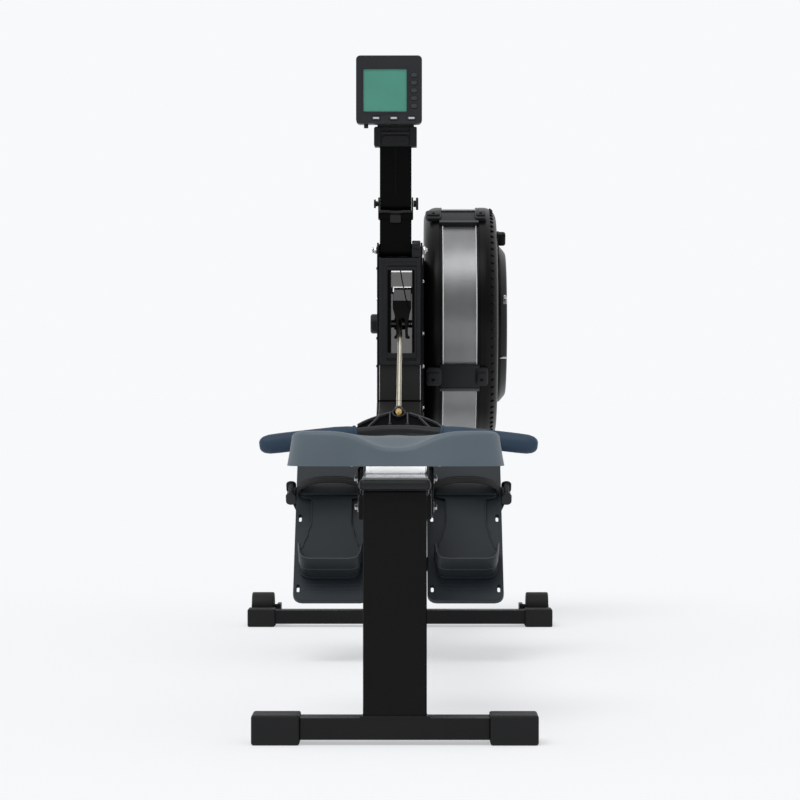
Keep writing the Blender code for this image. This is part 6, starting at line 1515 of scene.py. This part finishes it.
def makeArm():
    s = topShape
    y, (left, right) = s["station"], s["armSides"]
    standRefined("arm_lower", "armCoat", 0.0014, "lower_arm")
    standRefined("arm_upper", "armCoat", 0.0014, "upper_arm")
    # Saddle lip at the fold, the latch under it, and a pressed line down the arm.
    x = np.linspace(left - 0.0015, right + 0.0028, 49)
    middle = (x[0] + x[-1]) / 2.0
    sag = 0.0014 * np.exp(-((x - middle) / 0.012) ** 4)
    path = np.stack([x, np.full(49, y - 0.0150), 0.8229 - sag], -1)
    lip = sweep("lip", path, roundRect(0.0062, 0.0052, 0.0018, 4), "panelCoat", side=(0, 1, 0))
    latch = wallPlate("latch", (-0.0190, y - 0.0156, 0.8010), (0.0020, y - 0.0128, 0.8170), "panelCoat",
        0.0008, 0.003)
    filler = wallPlate("filler", (left + 0.0005, y - 0.0140, 0.8190), (right - 0.0005, y - 0.0132, 0.8256),
        "armCoat", 0.0003)
    stand(joined("armSaddle", [lip, latch, filler]), "lower_arm")
    lines = [wallPlate("line", (-0.0088, y - 0.0134, 0.858), (-0.0078, y - 0.0128, 0.948), "powderCoat",
        0.0002)]
    stand(joined("armLine", lines), "upper_arm")
    # Yoke: two cheeks, a round bar across and a rounded nose between them.
    parts = [refined("monitor_yoke", "darkMoulding", 0.0016, 3)]
    stand(parts[0], "upper_arm", ["monitor_yoke"])
    extra = [wallPlate("cheek", (low, 0.6935, 0.9495), (high, 0.6985, 0.9890), "darkMoulding", 0.0014, 0.004)
        for low, high in ((-0.0505, -0.0370), (0.0190, 0.0335))]
    extra.append(slab("nose", roundRect(0.054, 0.020, 0.008, 8), -0.0045, 0.0020, "darkMoulding",
        (-0.0085, 0.6955, 0.9630), (1, 0, 0), (0, 0, 1), 0.0022))
    extra.append(wallPlate("block", (-0.0440, 0.6985, 0.9840), (0.0280, 0.7220, 1.0010), "darkMoulding",
        0.0020, 0.004))
    bar = slab("bar", ring(0.0040, 24), -0.0285, 0.0275, "panelCoat", (-0.0080, 0.6960, 0.9770), (0, 1, 0),
        (0, 0, 1), 0.0012)
    stand(joined("yokeFront", extra + [bar]), "upper_arm")
    # Fold screw: black knobs. Base screw: bright ends and a ribbed black nut.
    knobs = [turnedKnob("head", left - 0.0117, left - 0.0078, 0.0086, s["fold"], "darkMoulding"),
        turnedKnob("stem", left - 0.0080, left - 0.0035, 0.0052, s["fold"], "darkMoulding"),
        turnedKnob("disc", right + 0.0086, right + 0.0134, 0.0122, s["fold"], "darkMoulding"),
        turnedKnob("neck", right + 0.0036, right + 0.0090, 0.0066, s["fold"], "darkMoulding")]
    stand(joined("foldKnobs", knobs), "fold_screw", ["arm_clamp_screw"])
    ends = [turnedKnob("end", -0.0545, -0.0500, 0.0052, s["pivot"], "zincPlate", 0.0008),
        turnedKnob("nut", -0.0502, -0.0447, 0.0080, s["pivot"], "zincPlate", 0.0008, steps=6),
        turnedKnob("washer", 0.0447, 0.0462, 0.0092, s["pivot"], "zincPlate", 0.0004),
        turnedKnob("nut", 0.0462, 0.0515, 0.0078, s["pivot"], "zincPlate", 0.0008, steps=6),
        turnedKnob("end", 0.0513, 0.0545, 0.0044, s["pivot"], "zincPlate", 0.0008)]
    stand(joined("baseScrew", ends), "base_screw", ["base_clamp_screw"])
    block = [turnedKnob("grip", 0.0240, 0.0405, 0.0100, 0.7560, "darkMoulding", 0.0018, 0.694, 12),
        wallPlate("block", (0.0235, 0.6880, 0.7330), (0.0440, 0.7040, 0.7545), "darkMoulding", 0.0012,
        0.003)]
    stand(joined("neckBlock", block), "frame")
    print("arm made")


# Legs, feet, rail end and what hangs under the seat
def makeLegs():
    standRefined("main_frame", "powderCoat", 0.0009, "frame")
    standRefined("front_leg", "barCoat", 0.0016, "frame")
    standRefined("rear_leg", "powderCoat", 0.0022, "rail_section", 3)
    # The bar runs on across the leg's foot, with a weld bead on top of it.
    bar = wallPlate("bar", (-0.1255, -1.2006, 0.0072), (0.1255, -1.1970, 0.0362), "barCoat", 0.0010)
    weld = wallPlate("weld", (-0.0470, -1.2012, 0.0350), (0.0470, -1.1980, 0.0388), "barCoat", 0.0012)
    stand(joined("rearBarFace", [bar, weld]), "rail_section")
    standRefined("rail_end_cap", "darkMoulding", 0.0030, "rail_section", 3)
    standRefined("handle_hook", "darkMoulding", 0.0012, "frame")
    standRefined("frame_lock_lever", "darkMoulding", 0.0016, "frame_lock", 3)
    for place, body in (("front", "frame"), ("rear", "rail_section")):
        for side in ("left", "right"):
            standRefined("%s_foot_cap_%s" % (place, side), "footRubber", 0.0035, body, 4)
    print("legs made")


casterShape = {
    "radius": 0.0290,
    "middle": (0.906, 0.0355),
    "sides": (0.2545, 0.2995),
    "pinRadius": 0.0041,
}


def makeCasters():
    radius, middle = casterShape["radius"], casterShape["middle"]
    low, high = casterShape["sides"]
    for label, sign in (("left", -1.0), ("right", 1.0)):
        line = [(low, 0.0042), (low, 0.0085), (low + 0.0020, 0.0095), (low + 0.0020, 0.0195),
            (low, 0.0205), (low, radius), (high, radius), (high, 0.0205), (high - 0.0020, 0.0195),
            (high - 0.0020, 0.0095), (high, 0.0085), (high, 0.0042)]
        profile = roundedProfile(np.vstack([line, line[:1]]), 0.0050, 6)[:-1] * [sign, 1.0]
        wheel = lathe("wheel", profile, middle, "footRubber", 64, closed=True)
        stand(wheel, "caster_" + label, ["caster_wheel_" + label])
        start, end = sorted((low * sign, high * sign))
        pin = slab("pin", ring(casterShape["pinRadius"], 20), start - 0.0006, end + 0.0006, "zincPlate",
            (0.0, *middle), (0, 1, 0), (0, 0, 1), 0.0006)
        stand(pin, "frame")
    print("casters made")


def main():
    makeGroups()
    setUpStudio()
    print("studio ready")
    dressNodes()
    print("frame pieces finished")
    makeSeat()
    makeHandle()
    makeCage()
    makeDamper()
    makeShroud()
    makeChain()
    makeFeet()
    makeMonitor()
    makeArm()
    makeLegs()
    makeCasters()
    makeBeams()


main()
